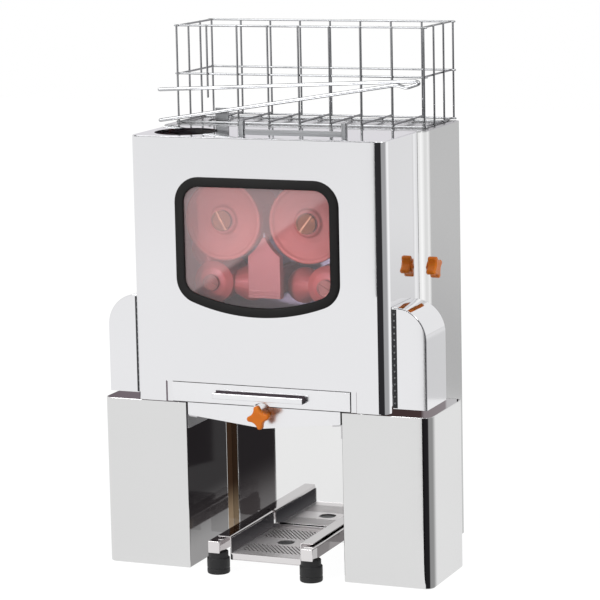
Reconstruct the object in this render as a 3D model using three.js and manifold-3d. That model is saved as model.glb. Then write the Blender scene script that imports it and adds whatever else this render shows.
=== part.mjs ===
// A commercial orange juicer: a stainless cabinet with a wire fruit basket on top, a pull-off hood
// with a window, two cup drums over two ball drums, a filter drawer, a juice tank and two peel bins.
// Millimetres. X runs across the front, Y from the front to the back and Z up from the counter.
// Y is zero on the hood's front face until the finished machine is centred over its origin.
import * as THREE from 'three';
import { mergeVertices } from 'three/addons/utils/BufferGeometryUtils.js';
import Module from 'manifold-3d';

const wasm = await Module();
wasm.setup();

// Facets
const roundSides = 16;
const drumSides = 28;
const ballHubSides = 16;
const headSides = 12;
const headRings = 8;
const holeSides = 32;
const starCurveSteps = 4;
const windowCurveSteps = 4;
const bendSteps = 8;
const arcSteps = 6;

// Fits
const seat = 0.3; // gap between pieces that touch
const overrun = 4; // how far a cutter passes its work
const sheet = 2; // stainless sheet of the casings
const thinSheet = 1.5; // stainless sheet of the loose trays

// Cabinet
const cabinetWidth = 410;
const cabinetFront = 131;
const cabinetBack = 279;
const cabinetTop = 631;
const bellyHeight = 258;
const baseFront = 168;
const skirtHeight = 12;
const cornerRadius = 12;
const flangeWidth = 25;
const flangeTop = 20;
const flangeBottom = 12;
const returnDepth = 20;

// Hood
const hoodWidth = 388;
const hoodFrontBottom = 248;
const hoodSideBottom = 258;
const hoodFrontBand = 14;
const feedHoleX = -132;
const feedHoleY = 60;
const feedHoleRadius = 46;
const tongueHeight = 42;
const tongueLength = 27;
const slotPlay = 2;

// Window
const windowHalf = 125;
const windowTop = 574;
const windowBottom = 376.4;
const windowCorner = 37;
const windowSag = 290;
const gasketWidth = 14;
const gasketLip = 3;
const gasketGrip = 6;
const gasketNeck = 1.4;

// Peel chutes on the hood's sides
const chuteWidth = 51;
const chuteFront = 18;
const chuteDepth = 80;
const chuteBottom = 254;
const chuteTop = 398;
const chuteBend = 47;
const chuteMouthTop = 370;
const chuteMouthInset = 8;

// Hood knobs
const hoodKnobY = 140;
const hoodKnobZ = 436;
const hubRadius = 9;
const hoodHubLength = 1.5;
const tankHubLength = 9;
const starReach = 17;
const starThickness = 14;
const starArms = 4;
const starWaist = 8.5;
const starTipHalf = 5;
const starTurn = 45; // degrees from level to the first arm, so that the arms clear the drawer
const starHollowShare = 0.9;
const tankStarThickness = 10.5;
const screwRadius = 4;
const screwReach = 17;

// Fruit rail and stop on top
const railPostLeft = -27;
const railPostRight = 128;
const railPostY = 20;
const railPostSize = 7;
const railPostHeight = 22;
const railBarHeight = 8;
const railBarLift = 2;
const stopPlateX = -131;
const stopPlateWidth = 21;
const stopPlateY = 183;
const stopPlateHeight = 21;
const stopPlateFoot = 9;

// Fruit basket
const wireRadius = 1.5;
const wireSides = 4;
const basketWidth = 386;
const basketFront = 165.7;
const basketBack = 291;
const basketTop = 776;
const basketMiddle = 703.8;
const basketPitches = 8;
const basketSidePitches = 3;
const basketStub = 5;
const weldBite = 0.6;
const openWire = 1;
const openWireEnd = 670;
const floorWireY = 248;

// Feed guide, a bent rod
const guideRadius = 2.75;
const guideLeft = -223;
const guideUpperLeft = 680;
const guideUpperRight = 699;
const guideLowerLeft = 634.4;
const guideHook = 188;
const guideDip = 165;
const guideDipHeight = 692;
const guideJoin = 152;
const guideJoinHeight = 694;
const guideHookDrop = 6;
const guideSides = 6;

// Squeezing unit
const cupAxisX = 65;
const cupAxisZ = 509;
const ballAxisX = 88;
const pitchRadius = 47.5;
const cupsPerDrum = 3;
const cupRadius = 32;
const ballRadius = 26;
const squeezeY = 78;
const drumRadius = 58;
const drumBodyRadius = 51;
const drumFlange = 13;
const cupDrumFront = 30;
const ballDrumFront = 40;
const drumBack = 118;
const rimWidth = 6;
const dishDepth = 8;
const drumHubRadius = 19;
const drumHubSetback = 1;
const drumHubSlope = 2;
const ballHubRadius = 30;
const ballHubBevel = 7;
const restTurn = 65; // degrees from +X to the right ball drum's first ball
const shaftRadius = 9;
const stubRadius = 6;
const stubLength = 3.4;
const stubLap = 4;
const nutRadius = 15;
const nutLength = 6.5;
const ballNutRadius = 12;
const nutSlotWidth = 3;
const nutSlotDepth = 1.6;

// Knife and its holder
const wedgeFront = 25;
const wedgeBack = 37;
const wedgeHalf = 24.5;
const wedgeBottom = 400;
const wedgeClear = 11.6;
const wedgeArcLift = 7.6;
const wedgeTipHalf = 2;
const barHalf = 9;
const barTop = 436;
const bladeThickness = 1.6;
const bladeTop = 486;
const bladeFront = 28;
const bladeBack = 121;
const bladeSink = 16;
const bladeRake = 22;
const bladeTip = 8;

// Plates, bearings and gears behind the squeezing unit
const plateThickness = 4;
const plateHalf = 185;
const plateBottom = 262;
const plateTop = 626;
const bossRadius = 20;
const bossLength = 11;
const gearTeeth = 24;
const pinionTeeth = 12;
const gearFront = 148;
const gearWidth = 14;
const toothAddendumShare = 0.95;
const toothDedendumShare = 1.2;
const toothBacklash = 0.5;
const pressureAngle = 20;
const rearPlateFront = 172;
const rearPlateThickness = 8;
const rearPlateHalf = 160;
const rearPlateBottom = 335;
const rearPlateTop = 612;
const spacerRadius = 8;
const spacerInset = 12;
const shaftTail = 4;
const pinionShaftRadius = 7;
const gearboxWidth = 80;
const gearboxDepth = 32;
const motorRadius = 34;
const motorLength = 56;
const motorBore = 14;

// Peel deflectors
const deflectorInner = 104;
const deflectorOuter = 150;
const deflectorTop = 337;
const deflectorBottom = 291;
const deflectorFront = 24;
const deflectorSag = 12;

// Filter drawer
const notchHalf = 147;
const notchTop = 278;
const drawerHalf = 137;
const drawerBottom = 249;
const drawerTop = 277;
const pullHalf = 69;
const pullReach = 12;
const pullBottom = 258;
const pullTop = 266;
const trayHalf = 135;
const trayDepth = 122;
const trayBottom = 254.3;
const trayTop = 272;
const trayLedge = 15;
const railShelfInner = 119;
const railWeb = 141;
const railFlangeOuter = 145.5;
const railFront = 4.3;
const railTab = 12;
const filterSlotLength = 42;
const filterSlotWidth = 4;
const filterSlots = 12;

// Juice tank
const tankHalf = 118;
const tankFront = 10;
const tankBack = 162;
const tankTop = 247.6;
const tankSideBottom = 227.4;
const tankMiddleBottom = 214.5;
const tankOutletRadius = 10;
const tankOutletY = 60;
const tankRailWidth = 15;
const tankRailDrop = 20;
const tankKnobX = 2;
const tankKnobZ = 235.1;
const tankStarGap = 7;

// Peel bins
const binInner = 120;
const binOuter = 252;
const binFront = 9;
const binBack = 148;
const binTop = 245.4;

// Base frame, feet and drip tray
const tubeSize = 17.7;
const tubeX = 72.1;
const tubeFront = -14;
const tubeWall = 1.5;
const footHeight = 31.7;
const footRadius = 16.5;
const footNeck = 14.5;
const footStep = 9;
const footBevel = 1;
const footSetback = 16;
const rearFootX = 170;
const crossTubeBack = 262;
const panFlangeOuter = 73.8;
const panFront = 7;
const panBack = 164;
const panFloor = 18.5;
const panFrontTop = 28.5;
const panRearTop = 34;
const grilleTop = 28.5;
const grillePitch = 11;
const grilleSlotWidth = 4;
const grilleSlantShare = 0.78; // of a band's depth that a slot runs sideways
const grilleHoleRadius = 14;
const grilleHoleY = 86;
const grilleHoleMargin = 3;
const grilleSideMargin = 5.5;
const grilleFrontMargin = 17;
const grilleRearMargin = 5.5;

// Rear panel, inlet and switch box
const louvreRows = 9;
const louvreLength = 120;
const louvreHeight = 4;
const louvrePitch = 12;
const louvreBottom = 470;
const inletX = 140;
const inletZ = 96;
const inletWidth = 30;
const inletHeight = 24;
const inletFlange = 6;
const inletDepth = 16;
const switchY = 210;
const switchZ = 560;
const switchWidth = 44;
const switchHeight = 84;
const switchDepth = 11;
const buttonRadius = 11;
const buttonStand = 4;
const buttonTravel = 3;
const buttonSpacing = 38;

// Places worked out from the sizes above
const ballAxisZ = cupAxisZ - Math.sqrt((2 * pitchRadius) ** 2 - (ballAxisX - cupAxisX) ** 2);
const pinionPitch = pitchRadius * pinionTeeth / gearTeeth;
const pinionZ = cupAxisZ + Math.sqrt((pitchRadius + pinionPitch) ** 2 - (cupAxisX - pinionPitch) ** 2);
const gearModule = 2 * pitchRadius / gearTeeth;
const plateFront = cabinetFront + sheet + seat;
const plateBack = plateFront + plateThickness;
const rearPlateBack = rearPlateFront + rearPlateThickness;
const panHalf = tubeX - footRadius - seat;
const tubeTop = footHeight + seat + tubeSize;
const tubeBottom = footHeight + seat;
const degree = Math.PI / 180;
const left = -1;
const right = 1;

// Finishes
const polishedSteel = finish(0xdcdcde, 0.18, 1);
const brushedSteel = finish(0xc4c5c8, 0.34, 1);
const chromeWire = finish(0xd4d6d8, 0.1, 1);
const castAlloy = finish(0x9a9da0, 0.5, 0.9);
const gearSteel = finish(0x8b8e93, 0.4, 1);
const brass = finish(0xc79a4b, 0.35, 1);
const blackRubber = finish(0x222324, 0.7, 0);
const clearPane = finish(0xd8d4dc, 0.08, 0);
const orangeKnob = finish(0xe07b26, 0.35, 0);
const cupPlastic = finish(0xe58f7d, 0.4, 0);
const ballPlastic = finish(0xd8553a, 0.4, 0);
const blackPlastic = finish(0x2b2c2e, 0.5, 0);
const greenPlastic = finish(0x2f9a4a, 0.35, 0);
const redPlastic = finish(0xc63a2d, 0.35, 0);

function finish(color, roughness, metalness) {
  return new THREE.MeshStandardMaterial({ color, roughness, metalness, flatShading: true });
}

// A closed three.js geometry becomes a solid with its faces pointing out
function solid(geometry) {
  const bare = new THREE.BufferGeometry();
  bare.setAttribute('position', geometry.getAttribute('position'));
  if (geometry.index) bare.setIndex(geometry.index);
  const merged = mergeVertices(bare);
  const at = merged.getAttribute('position');
  const faces = [];
  let volume = 0;
  for (let i = 0; i < merged.index.count; i += 3) {
    const face = [0, 1, 2].map((k) => merged.index.getX(i + k));
    if (new Set(face).size < 3) continue;
    const [a, b, c] = face.map((n) => new THREE.Vector3().fromBufferAttribute(at, n));
    volume += a.dot(b.cross(c));
    faces.push(face);
  }
  const triVerts = new Uint32Array(faces.flatMap((face) => (volume < 0 ? face.reverse() : face)));
  const vertProperties = new Float32Array(at.array);
  return new wasm.Manifold(new wasm.Mesh({ numProp: 3, vertProperties, triVerts }));
}

function toGeometry(body) {
  const mesh = body.getMesh();
  const geometry = new THREE.BufferGeometry();
  geometry.setAttribute('position', new THREE.BufferAttribute(new Float32Array(mesh.vertProperties), 3));
  geometry.setIndex(new THREE.BufferAttribute(new Uint32Array(mesh.triVerts), 1));
  geometry.computeVertexNormals();
  return geometry;
}

function join(...bodies) {
  return bodies.reduce((whole, body) => whole.add(body));
}

function cut(body, ...cutters) {
  return cutters.reduce((rest, cutter) => rest.subtract(cutter), body);
}

const machine = new THREE.Group();

function place(name, body, material) {
  const mesh = new THREE.Mesh(toGeometry(body), material);
  mesh.name = name;
  machine.add(mesh);
}

function sideName(side, name) {
  return `${name}_${side === left ? 'left' : 'right'}`;
}

// A box between two corners, given in any order
function block(x0, x1, y0, y1, z0, z1) {
  const box = new THREE.BoxGeometry(Math.abs(x1 - x0), Math.abs(y1 - y0), Math.abs(z1 - z0));
  return solid(box.translate((x0 + x1) / 2, (y0 + y1) / 2, (z0 + z1) / 2));
}

function outline(points) {
  return new THREE.Shape(points.map(([a, b]) => new THREE.Vector2(a, b)));
}

// Shapes drawn in plan, from the front or from the side, carried along the third axis
function upright(shape, z0, z1, curveSegments = bendSteps) {
  const options = { depth: z1 - z0, bevelEnabled: false, curveSegments };
  return solid(new THREE.ExtrudeGeometry(shape, options).translate(0, 0, z0));
}

function frontToBack(shape, y0, y1, curveSegments = bendSteps) {
  const options = { depth: y1 - y0, bevelEnabled: false, curveSegments };
  return solid(new THREE.ExtrudeGeometry(shape, options).rotateX(Math.PI / 2).translate(0, y1, 0));
}

function across(shape, x0, x1, curveSegments = bendSteps) {
  const options = { depth: Math.abs(x1 - x0), bevelEnabled: false, curveSegments };
  const basis = new THREE.Matrix4().makeBasis(
    new THREE.Vector3(0, 1, 0), new THREE.Vector3(0, 0, 1), new THREE.Vector3(1, 0, 0));
  const geometry = new THREE.ExtrudeGeometry(shape, options).applyMatrix4(basis);
  return solid(geometry.translate(Math.min(x0, x1), 0, 0));
}

// A plan rectangle whose chosen corners are rounded, in the order front left, front right,
// back right and back left
function plan(x0, x1, y0, y1, radii) {
  const corners = [[x0, y0, 1, 0], [x1, y0, 0, 1], [x1, y1, -1, 0], [x0, y1, 0, -1]];
  const shape = new THREE.Shape();
  corners.forEach(([x, y, dx, dy], i) => {
    const radius = radii[i];
    const [px, py] = [dy, -dx];
    if (i === 0) shape.moveTo(x - px * radius, y - py * radius);
    else shape.lineTo(x - px * radius, y - py * radius);
    if (radius > 0) shape.quadraticCurveTo(x, y, x + dx * radius, y + dy * radius);
  });
  shape.closePath();
  return shape;
}

// A turned piece on an axis that runs from front to back
function turned(profile, x, z, segments) {
  const points = profile.map(([radius, y]) => new THREE.Vector2(radius, y));
  return solid(new THREE.LatheGeometry([...points, points[0]], segments).translate(x, 0, z));
}

function rodY(radius, x, z, y0, y1, segments = roundSides) {
  const rod = new THREE.CylinderGeometry(radius, radius, y1 - y0, segments);
  return solid(rod.translate(x, (y0 + y1) / 2, z));
}

function rodX(radius, x0, x1, y, z, segments = roundSides) {
  const rod = new THREE.CylinderGeometry(radius, radius, Math.abs(x1 - x0), segments);
  return solid(rod.rotateZ(Math.PI / 2).translate((x0 + x1) / 2, y, z));
}

function rodZ(radius, x, y, z0, z1, segments = roundSides) {
  const rod = new THREE.CylinderGeometry(radius, radius, z1 - z0, segments);
  return solid(rod.rotateX(Math.PI / 2).translate(x, y, (z0 + z1) / 2));
}

// A straight wire between two points
function wire(from, to, radius = wireRadius, sides = wireSides) {
  const start = new THREE.Vector3(...from);
  const end = new THREE.Vector3(...to);
  const length = start.distanceTo(end);
  const geometry = new THREE.CylinderGeometry(radius, radius, length, sides);
  const turn = new THREE.Quaternion().setFromUnitVectors(
    new THREE.Vector3(0, 1, 0), end.clone().sub(start).normalize());
  geometry.applyQuaternion(turn);
  const middle = start.add(end).divideScalar(2);
  return solid(geometry.translate(middle.x, middle.y, middle.z));
}

function makeCabinetShell() {
  const half = cabinetWidth / 2;
  const round = [cornerRadius, cornerRadius, 0, 0];
  const innerRound = [cornerRadius - sheet, cornerRadius - sheet, 0, 0];
  const outer = upright(plan(-half, half, cabinetFront, cabinetBack, round), bellyHeight, cabinetTop);
  const hollow = upright(
    plan(-half + sheet, half - sheet, cabinetFront + sheet, cabinetBack + overrun, innerRound),
    bellyHeight - overrun, cabinetTop - sheet);
  const opening = block(
    -half + flangeWidth, half - flangeWidth, cabinetFront - overrun, cabinetFront + sheet + overrun,
    bellyHeight + flangeBottom, cabinetTop - flangeTop);
  let shell = cut(outer, hollow, opening);
  for (const side of [left, right]) {
    const skirt = block(side * half, side * (half - sheet), baseFront, cabinetBack, skirtHeight,
      bellyHeight + sheet);
    const tongueSlot = block(
      side * (hoodWidth / 2 + slotPlay), side * (hoodWidth / 2 - sheet - slotPlay),
      cabinetFront - overrun, cabinetFront + sheet + overrun,
      hoodKnobZ - tongueHeight / 2 - slotPlay, hoodKnobZ + tongueHeight / 2 + slotPlay);
    const screwHole = rodX(screwRadius + seat, side * (half - sheet - overrun), side * (half + overrun),
      hoodKnobY, hoodKnobZ);
    shell = cut(join(shell, skirt), tongueSlot, screwHole);
  }
  place('cabinet_shell', shell, polishedSteel);
}

function makeFrontPlate() {
  let plate = block(-plateHalf, plateHalf, plateFront, plateBack, plateBottom, plateTop);
  for (const [x, z] of shaftPlaces()) {
    plate = join(plate, rodY(bossRadius, x, z, plateFront - bossLength, plateBack));
  }
  for (const [x, z] of shaftPlaces()) {
    plate = cut(plate, rodY(shaftRadius + seat, x, z, plateFront - bossLength - overrun,
      plateBack + overrun));
  }
  place('front_plate', plate, brushedSteel);
}

function shaftPlaces() {
  return [left, right].flatMap((side) => [[side * cupAxisX, cupAxisZ], [side * ballAxisX, ballAxisZ]]);
}

// The rear plate stands on four spacers and holds the shafts' tails
function makeRearPlate() {
  let plate = block(-rearPlateHalf, rearPlateHalf, rearPlateFront, rearPlateBack,
    rearPlateBottom, rearPlateTop);
  for (const side of [left, right]) {
    for (const z of [rearPlateBottom + spacerInset, rearPlateTop - spacerInset]) {
      const spacer = rodY(spacerRadius, side * (rearPlateHalf - spacerInset), z,
        plateBack + seat, rearPlateBack);
      plate = join(plate, spacer);
    }
  }
  for (const [x, z] of shaftPlaces()) {
    plate = cut(plate, rodY(shaftRadius + seat, x, z, rearPlateFront - overrun, rearPlateBack + overrun));
  }
  for (const side of [left, right]) {
    plate = cut(plate, rodY(pinionShaftRadius + seat, side * pinionPitch, pinionZ,
      rearPlateFront - overrun, rearPlateBack + overrun));
  }
  place('gear_plate', plate, castAlloy);
}

// The wall behind the bins, with its floor, its belly flange and its side returns
function makeBaseWall() {
  const half = cabinetWidth / 2 - sheet - seat;
  const top = bellyHeight - seat;
  let wall = block(-half, half, baseFront, baseFront + sheet, skirtHeight, top);
  const belly = block(-half, half, cabinetFront, baseFront + sheet, top - sheet, top);
  const floor = block(-half, half, baseFront, cabinetBack - sheet - seat, tubeTop + seat,
    tubeTop + seat + sheet);
  wall = join(wall, belly, floor);
  for (const side of [left, right]) {
    wall = join(wall, block(side * half, side * (half - sheet), baseFront,
      baseFront + returnDepth, skirtHeight, top));
  }
  for (const side of [left, right]) {
    const reach = tubeSize / 2 + seat;
    wall = cut(wall, block(side * tubeX - reach, side * tubeX + reach, baseFront - overrun,
      baseFront + sheet + overrun, skirtHeight - overrun, tubeTop + seat));
  }
  place('base_wall', wall, polishedSteel);
}

function makeRearPanel() {
  const half = cabinetWidth / 2 - sheet - seat;
  let panel = block(-half, half, cabinetBack - sheet, cabinetBack, skirtHeight,
    cabinetTop - sheet - seat);
  for (const side of [left, right]) {
    for (let row = 0; row < louvreRows; row += 1) {
      const z = louvreBottom + row * louvrePitch;
      const x = side * (half / 2);
      panel = cut(panel, block(x - louvreLength / 2, x + louvreLength / 2, cabinetBack - sheet - overrun,
        cabinetBack + overrun, z, z + louvreHeight));
    }
  }
  const inletHole = block(inletX - inletWidth / 2 - seat, inletX + inletWidth / 2 + seat,
    cabinetBack - sheet - overrun, cabinetBack + overrun,
    inletZ - inletHeight / 2 - seat, inletZ + inletHeight / 2 + seat);
  place('rear_panel', cut(panel, inletHole), brushedSteel);
}

function makePowerInlet() {
  const halfWidth = inletWidth / 2;
  const halfHeight = inletHeight / 2;
  const faceBack = cabinetBack + seat + sheet;
  const body = block(inletX - halfWidth, inletX + halfWidth, cabinetBack - inletDepth, faceBack,
    inletZ - halfHeight, inletZ + halfHeight);
  const face = block(inletX - halfWidth - inletFlange, inletX + halfWidth + inletFlange,
    cabinetBack + seat, faceBack, inletZ - halfHeight - inletFlange / 2,
    inletZ + halfHeight + inletFlange / 2);
  const socket = block(inletX - halfWidth + sheet, inletX + halfWidth - sheet,
    cabinetBack - inletDepth + sheet, faceBack + overrun,
    inletZ - halfHeight + sheet, inletZ + halfHeight - sheet);
  place('power_inlet', cut(join(body, face), socket), blackPlastic);
}

function makeSwitches() {
  const wallX = -cabinetWidth / 2 - seat;
  const faceX = wallX - switchDepth;
  let housing = block(faceX, wallX, switchY - switchWidth / 2, switchY + switchWidth / 2,
    switchZ - switchHeight / 2, switchZ + switchHeight / 2);
  const wellDepth = switchDepth - sheet;
  const buttons = [['start_button', 1, greenPlastic], ['stop_button', -1, redPlastic]];
  for (const [name, step, material] of buttons) {
    const z = switchZ + step * buttonSpacing / 2;
    housing = cut(housing, rodX(buttonRadius + seat, faceX - overrun, faceX + wellDepth, switchY, z));
    const inner = faceX + wellDepth - buttonTravel - seat;
    place(name, rodX(buttonRadius, faceX - buttonStand, inner, switchY, z), material);
  }
  place('switch_box', housing, blackPlastic);
}

// One tube of the base, open at the back, with its polished cap at the front
function makeBaseTube(side) {
  const x = side * tubeX;
  const back = crossTubeBack - tubeSize - seat;
  const tube = block(x - tubeSize / 2, x + tubeSize / 2, tubeFront, back, tubeBottom, tubeTop);
  const bore = block(x - tubeSize / 2 + tubeWall, x + tubeSize / 2 - tubeWall, tubeFront + tubeWall,
    back + overrun, tubeBottom + tubeWall, tubeTop - tubeWall);
  place(sideName(side, 'base_tube'), cut(tube, bore), polishedSteel);
}

function makeCrossTube() {
  const half = rearFootX + footRadius;
  const front = crossTubeBack - tubeSize;
  const tube = block(-half, half, front, crossTubeBack, tubeBottom, tubeTop);
  const bore = block(-half - overrun, half + overrun, front + tubeWall, crossTubeBack - tubeWall,
    tubeBottom + tubeWall, tubeTop - tubeWall);
  place('cross_tube', cut(tube, bore), polishedSteel);
}

function makeFoot(name, x, y) {
  const stepZ = footHeight - footStep;
  const profile = [[0, 0], [footRadius - footBevel, 0], [footRadius, footBevel], [footRadius, stepZ],
    [footNeck, stepZ + footBevel], [footNeck, footHeight], [0, footHeight]];
  const points = profile.map(([radius, z]) => new THREE.Vector2(radius, z));
  const foot = new THREE.LatheGeometry(points, roundSides).rotateX(Math.PI / 2);
  place(name, solid(foot.translate(x, y, 0)), blackRubber);
}

function makeFeet() {
  for (const side of [left, right]) {
    makeFoot(sideName(side, 'front_foot'), side * tubeX, tubeFront + footSetback);
    makeFoot(sideName(side, 'rear_foot'), side * rearFootX, crossTubeBack - tubeSize / 2);
  }
}

// The outline of the window seal, drawn inwards by an inset
function windowOutline(inset) {
  const half = windowHalf - inset;
  const corner = windowCorner - inset;
  const sag = windowSag - inset;
  const cornerX = windowHalf - windowCorner;
  const topZ = windowTop - windowCorner;
  const sagZ = windowBottom + windowSag;
  const reach = windowSag - windowCorner;
  const bottomZ = sagZ - Math.sqrt(reach ** 2 - cornerX ** 2);
  const lean = Math.atan2(bottomZ - sagZ, cornerX);
  const shape = new THREE.Shape();
  shape.absarc(cornerX, topZ, corner, 0, Math.PI / 2);
  shape.absarc(-cornerX, topZ, corner, Math.PI / 2, Math.PI);
  shape.lineTo(-half, bottomZ);
  shape.absarc(-cornerX, bottomZ, corner, Math.PI, Math.PI - lean);
  shape.absarc(0, sagZ, sag, -Math.PI - lean, lean);
  shape.absarc(cornerX, bottomZ, corner, lean, 0);
  shape.closePath();
  return shape;
}

function makeHoodShell() {
  const half = hoodWidth / 2;
  const back = cabinetFront - seat;
  const round = [cornerRadius, cornerRadius, 0, 0];
  const innerRound = [cornerRadius - sheet, cornerRadius - sheet, 0, 0];
  const outer = upright(plan(-half, half, 0, back, round), hoodFrontBottom, cabinetTop);
  const hollow = upright(plan(-half + sheet, half - sheet, sheet, back + overrun, innerRound),
    hoodFrontBottom - overrun, cabinetTop - sheet);
  const sidesShort = block(-half - overrun, half + overrun, hoodFrontBand, back + overrun,
    hoodFrontBottom - overrun, hoodSideBottom);
  const opening = frontToBack(windowOutline(gasketGrip), -overrun, sheet + overrun, windowCurveSteps);
  const notch = block(-notchHalf, notchHalf, -overrun, sheet + overrun,
    hoodFrontBottom - overrun, notchTop);
  const feedHole = rodZ(feedHoleRadius, feedHoleX, feedHoleY, cabinetTop - sheet - overrun,
    cabinetTop + overrun, holeSides);
  let hood = cut(outer, hollow, sidesShort, opening, notch, feedHole);
  for (const side of [left, right]) {
    const tongue = block(side * half, side * (half - sheet), back - sheet, back + tongueLength,
      hoodKnobZ - tongueHeight / 2, hoodKnobZ + tongueHeight / 2);
    const screwSlot = block(side * (half + overrun), side * (half - sheet - overrun),
      hoodKnobY - screwRadius - seat, back + tongueLength + overrun,
      hoodKnobZ - screwRadius - seat, hoodKnobZ + screwRadius + seat);
    const mouth = block(side * (half + overrun), side * (half - sheet - overrun),
      chuteFront + chuteMouthInset, chuteFront + chuteDepth - chuteMouthInset,
      hoodSideBottom + chuteMouthInset, chuteMouthTop);
    hood = cut(join(hood, tongue), screwSlot, mouth);
  }
  place('hood_shell', hood, polishedSteel);
}

// A rubber seal of H section that grips the hood's sheet outside and the pane inside
function makeWindow() {
  const ring = (outer, inner, y0, y1) => cut(
    frontToBack(windowOutline(outer), y0, y1, windowCurveSteps),
    frontToBack(windowOutline(inner), y0 - overrun, y1 + overrun, windowCurveSteps));
  const neckOuter = gasketGrip + seat;
  const neckInner = neckOuter + gasketNeck;
  const gasket = join(
    ring(0, gasketWidth, -seat - gasketLip, -seat),
    ring(neckOuter, neckInner, -seat - gasketLip / 2, sheet + seat + gasketLip / 2),
    ring(sheet, gasketWidth - sheet, sheet + seat, sheet + seat + gasketLip));
  place('window_gasket', gasket, blackRubber);
  const pane = frontToBack(windowOutline(neckInner + seat), 0, sheet, windowCurveSteps);
  place('window_pane', pane, clearPane);
}

// A chute is a hood over the bin's outer half, open below and towards the machine
function makeChute(side) {
  const start = hoodWidth / 2 + seat;
  const end = hoodWidth / 2 + chuteWidth;
  const chuteShape = (inset, bottom, inner) => {
    const shape = new THREE.Shape();
    const x = end - inset;
    const top = chuteTop - inset;
    const bend = chuteBend - inset;
    shape.moveTo(side * inner, bottom);
    shape.lineTo(side * x, bottom);
    shape.lineTo(side * x, top - bend);
    for (let step = 1; step <= bendSteps; step += 1) {
      const turn = step / bendSteps * Math.PI / 2;
      shape.lineTo(side * (x - bend + bend * Math.cos(turn)), top - bend + bend * Math.sin(turn));
    }
    shape.lineTo(side * inner, top);
    shape.closePath();
    return shape;
  };
  const outer = frontToBack(chuteShape(0, chuteBottom, start), chuteFront, chuteFront + chuteDepth);
  const hollow = frontToBack(chuteShape(thinSheet, chuteBottom - overrun, start - overrun),
    chuteFront + thinSheet, chuteFront + chuteDepth - thinSheet);
  place(sideName(side, 'peel_chute'), cut(outer, hollow), polishedSteel);
}

// A star knob's outline: round-ended arms with hollow flanks between them
function starShape() {
  const shape = new THREE.Shape();
  const tip = starReach - starTipHalf;
  const hollow = starWaist * starHollowShare;
  for (let arm = 0; arm < starArms; arm += 1) {
    const turn = starTurn * degree + arm * 2 * Math.PI / starArms;
    const next = turn + 2 * Math.PI / starArms;
    const middle = (turn + next) / 2;
    const [cx, cy] = [tip * Math.cos(turn), tip * Math.sin(turn)];
    shape.absarc(cx, cy, starTipHalf, turn - Math.PI / 2, turn + Math.PI / 2);
    const startAngle = next - Math.PI / 2;
    const endX = tip * Math.cos(next) + starTipHalf * Math.cos(startAngle);
    const endY = tip * Math.sin(next) + starTipHalf * Math.sin(startAngle);
    shape.quadraticCurveTo(hollow * Math.cos(middle), hollow * Math.sin(middle), endX, endY);
  }
  return shape;
}

function makeHoodKnob(side) {
  const wall = cabinetWidth / 2 + seat;
  const star = wall + hoodHubLength;
  const tip = star + starThickness;
  const options = { depth: starThickness, bevelEnabled: false, curveSegments: starCurveSteps };
  const head = new THREE.ExtrudeGeometry(starShape(), options).rotateY(Math.PI / 2);
  head.translate(side === right ? star : -tip, hoodKnobY, hoodKnobZ);
  const hub = rodX(hubRadius, side * wall, side * (star + sheet), hoodKnobY, hoodKnobZ);
  const screw = rodX(screwRadius, side * (wall - screwReach), side * (wall + sheet),
    hoodKnobY, hoodKnobZ);
  place(sideName(side, 'hood_knob'), join(solid(head), hub, screw), orangeKnob);
}

function makeFruitRail() {
  const foot = cabinetTop + seat;
  let rail = block(railPostLeft, railPostRight, railPostY - sheet / 2, railPostY + sheet / 2,
    foot + railBarLift, foot + railBarLift + railBarHeight);
  for (const x of [railPostLeft, railPostRight]) {
    const half = railPostSize / 2;
    rail = join(rail, block(x - half, x + half, railPostY - half, railPostY + half,
      foot, foot + railPostHeight));
  }
  place('fruit_rail', rail, brushedSteel);
}

function makeFruitStop() {
  const half = stopPlateWidth / 2;
  const foot = cabinetTop + seat;
  const plate = block(stopPlateX - half, stopPlateX + half, stopPlateY, stopPlateY + sheet,
    foot, foot + stopPlateHeight);
  const tab = block(stopPlateX - half, stopPlateX + half, stopPlateY, stopPlateY + stopPlateFoot,
    foot, foot + sheet);
  place('fruit_stop', join(plate, tab), brushedSteel);
}

// Welded wires: uprights outside, three rings inside them and a floor of cross wires
function makeBasket() {
  const half = basketWidth / 2;
  const lap = 2 * wireRadius - weldBite;
  const bottom = cabinetTop + seat;
  const bottomRing = bottom + wireRadius;
  const topRing = basketTop - wireRadius;
  const wires = [];
  for (let i = 0; i <= basketPitches; i += 1) {
    const x = -half + i * basketWidth / basketPitches;
    const low = i === openWire ? openWireEnd : bottom;
    wires.push(wire([x, basketFront, low], [x, basketFront, basketTop]));
    wires.push(wire([x, basketBack, bottom], [x, basketBack, basketTop]));
    if (i > 0 && i < basketPitches) {
      const z = bottomRing + lap;
      wires.push(wire([x, basketFront + lap - wireRadius, z], [x, basketBack - lap + wireRadius, z]));
    }
  }
  for (const side of [left, right]) {
    for (let i = 1; i < basketSidePitches; i += 1) {
      const y = basketFront + i * (basketBack - basketFront) / basketSidePitches;
      wires.push(wire([side * half, y, bottom], [side * half, y, basketTop]));
    }
  }
  for (const z of [bottomRing, basketMiddle, topRing]) {
    const inner = half - lap;
    const front = basketFront + lap;
    const back = basketBack - lap;
    wires.push(wire([-half - basketStub, front, z], [half + basketStub, front, z]));
    wires.push(wire([-half - basketStub, back, z], [half + basketStub, back, z]));
    wires.push(wire([-inner, basketFront, z], [-inner, basketBack + basketStub, z]));
    wires.push(wire([inner, basketFront, z], [inner, basketBack + basketStub, z]));
  }
  wires.push(wire([-half, floorWireY, bottomRing], [half, floorWireY, bottomRing]));
  place('fruit_basket', join(...wires), chromeWire);
}

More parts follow.
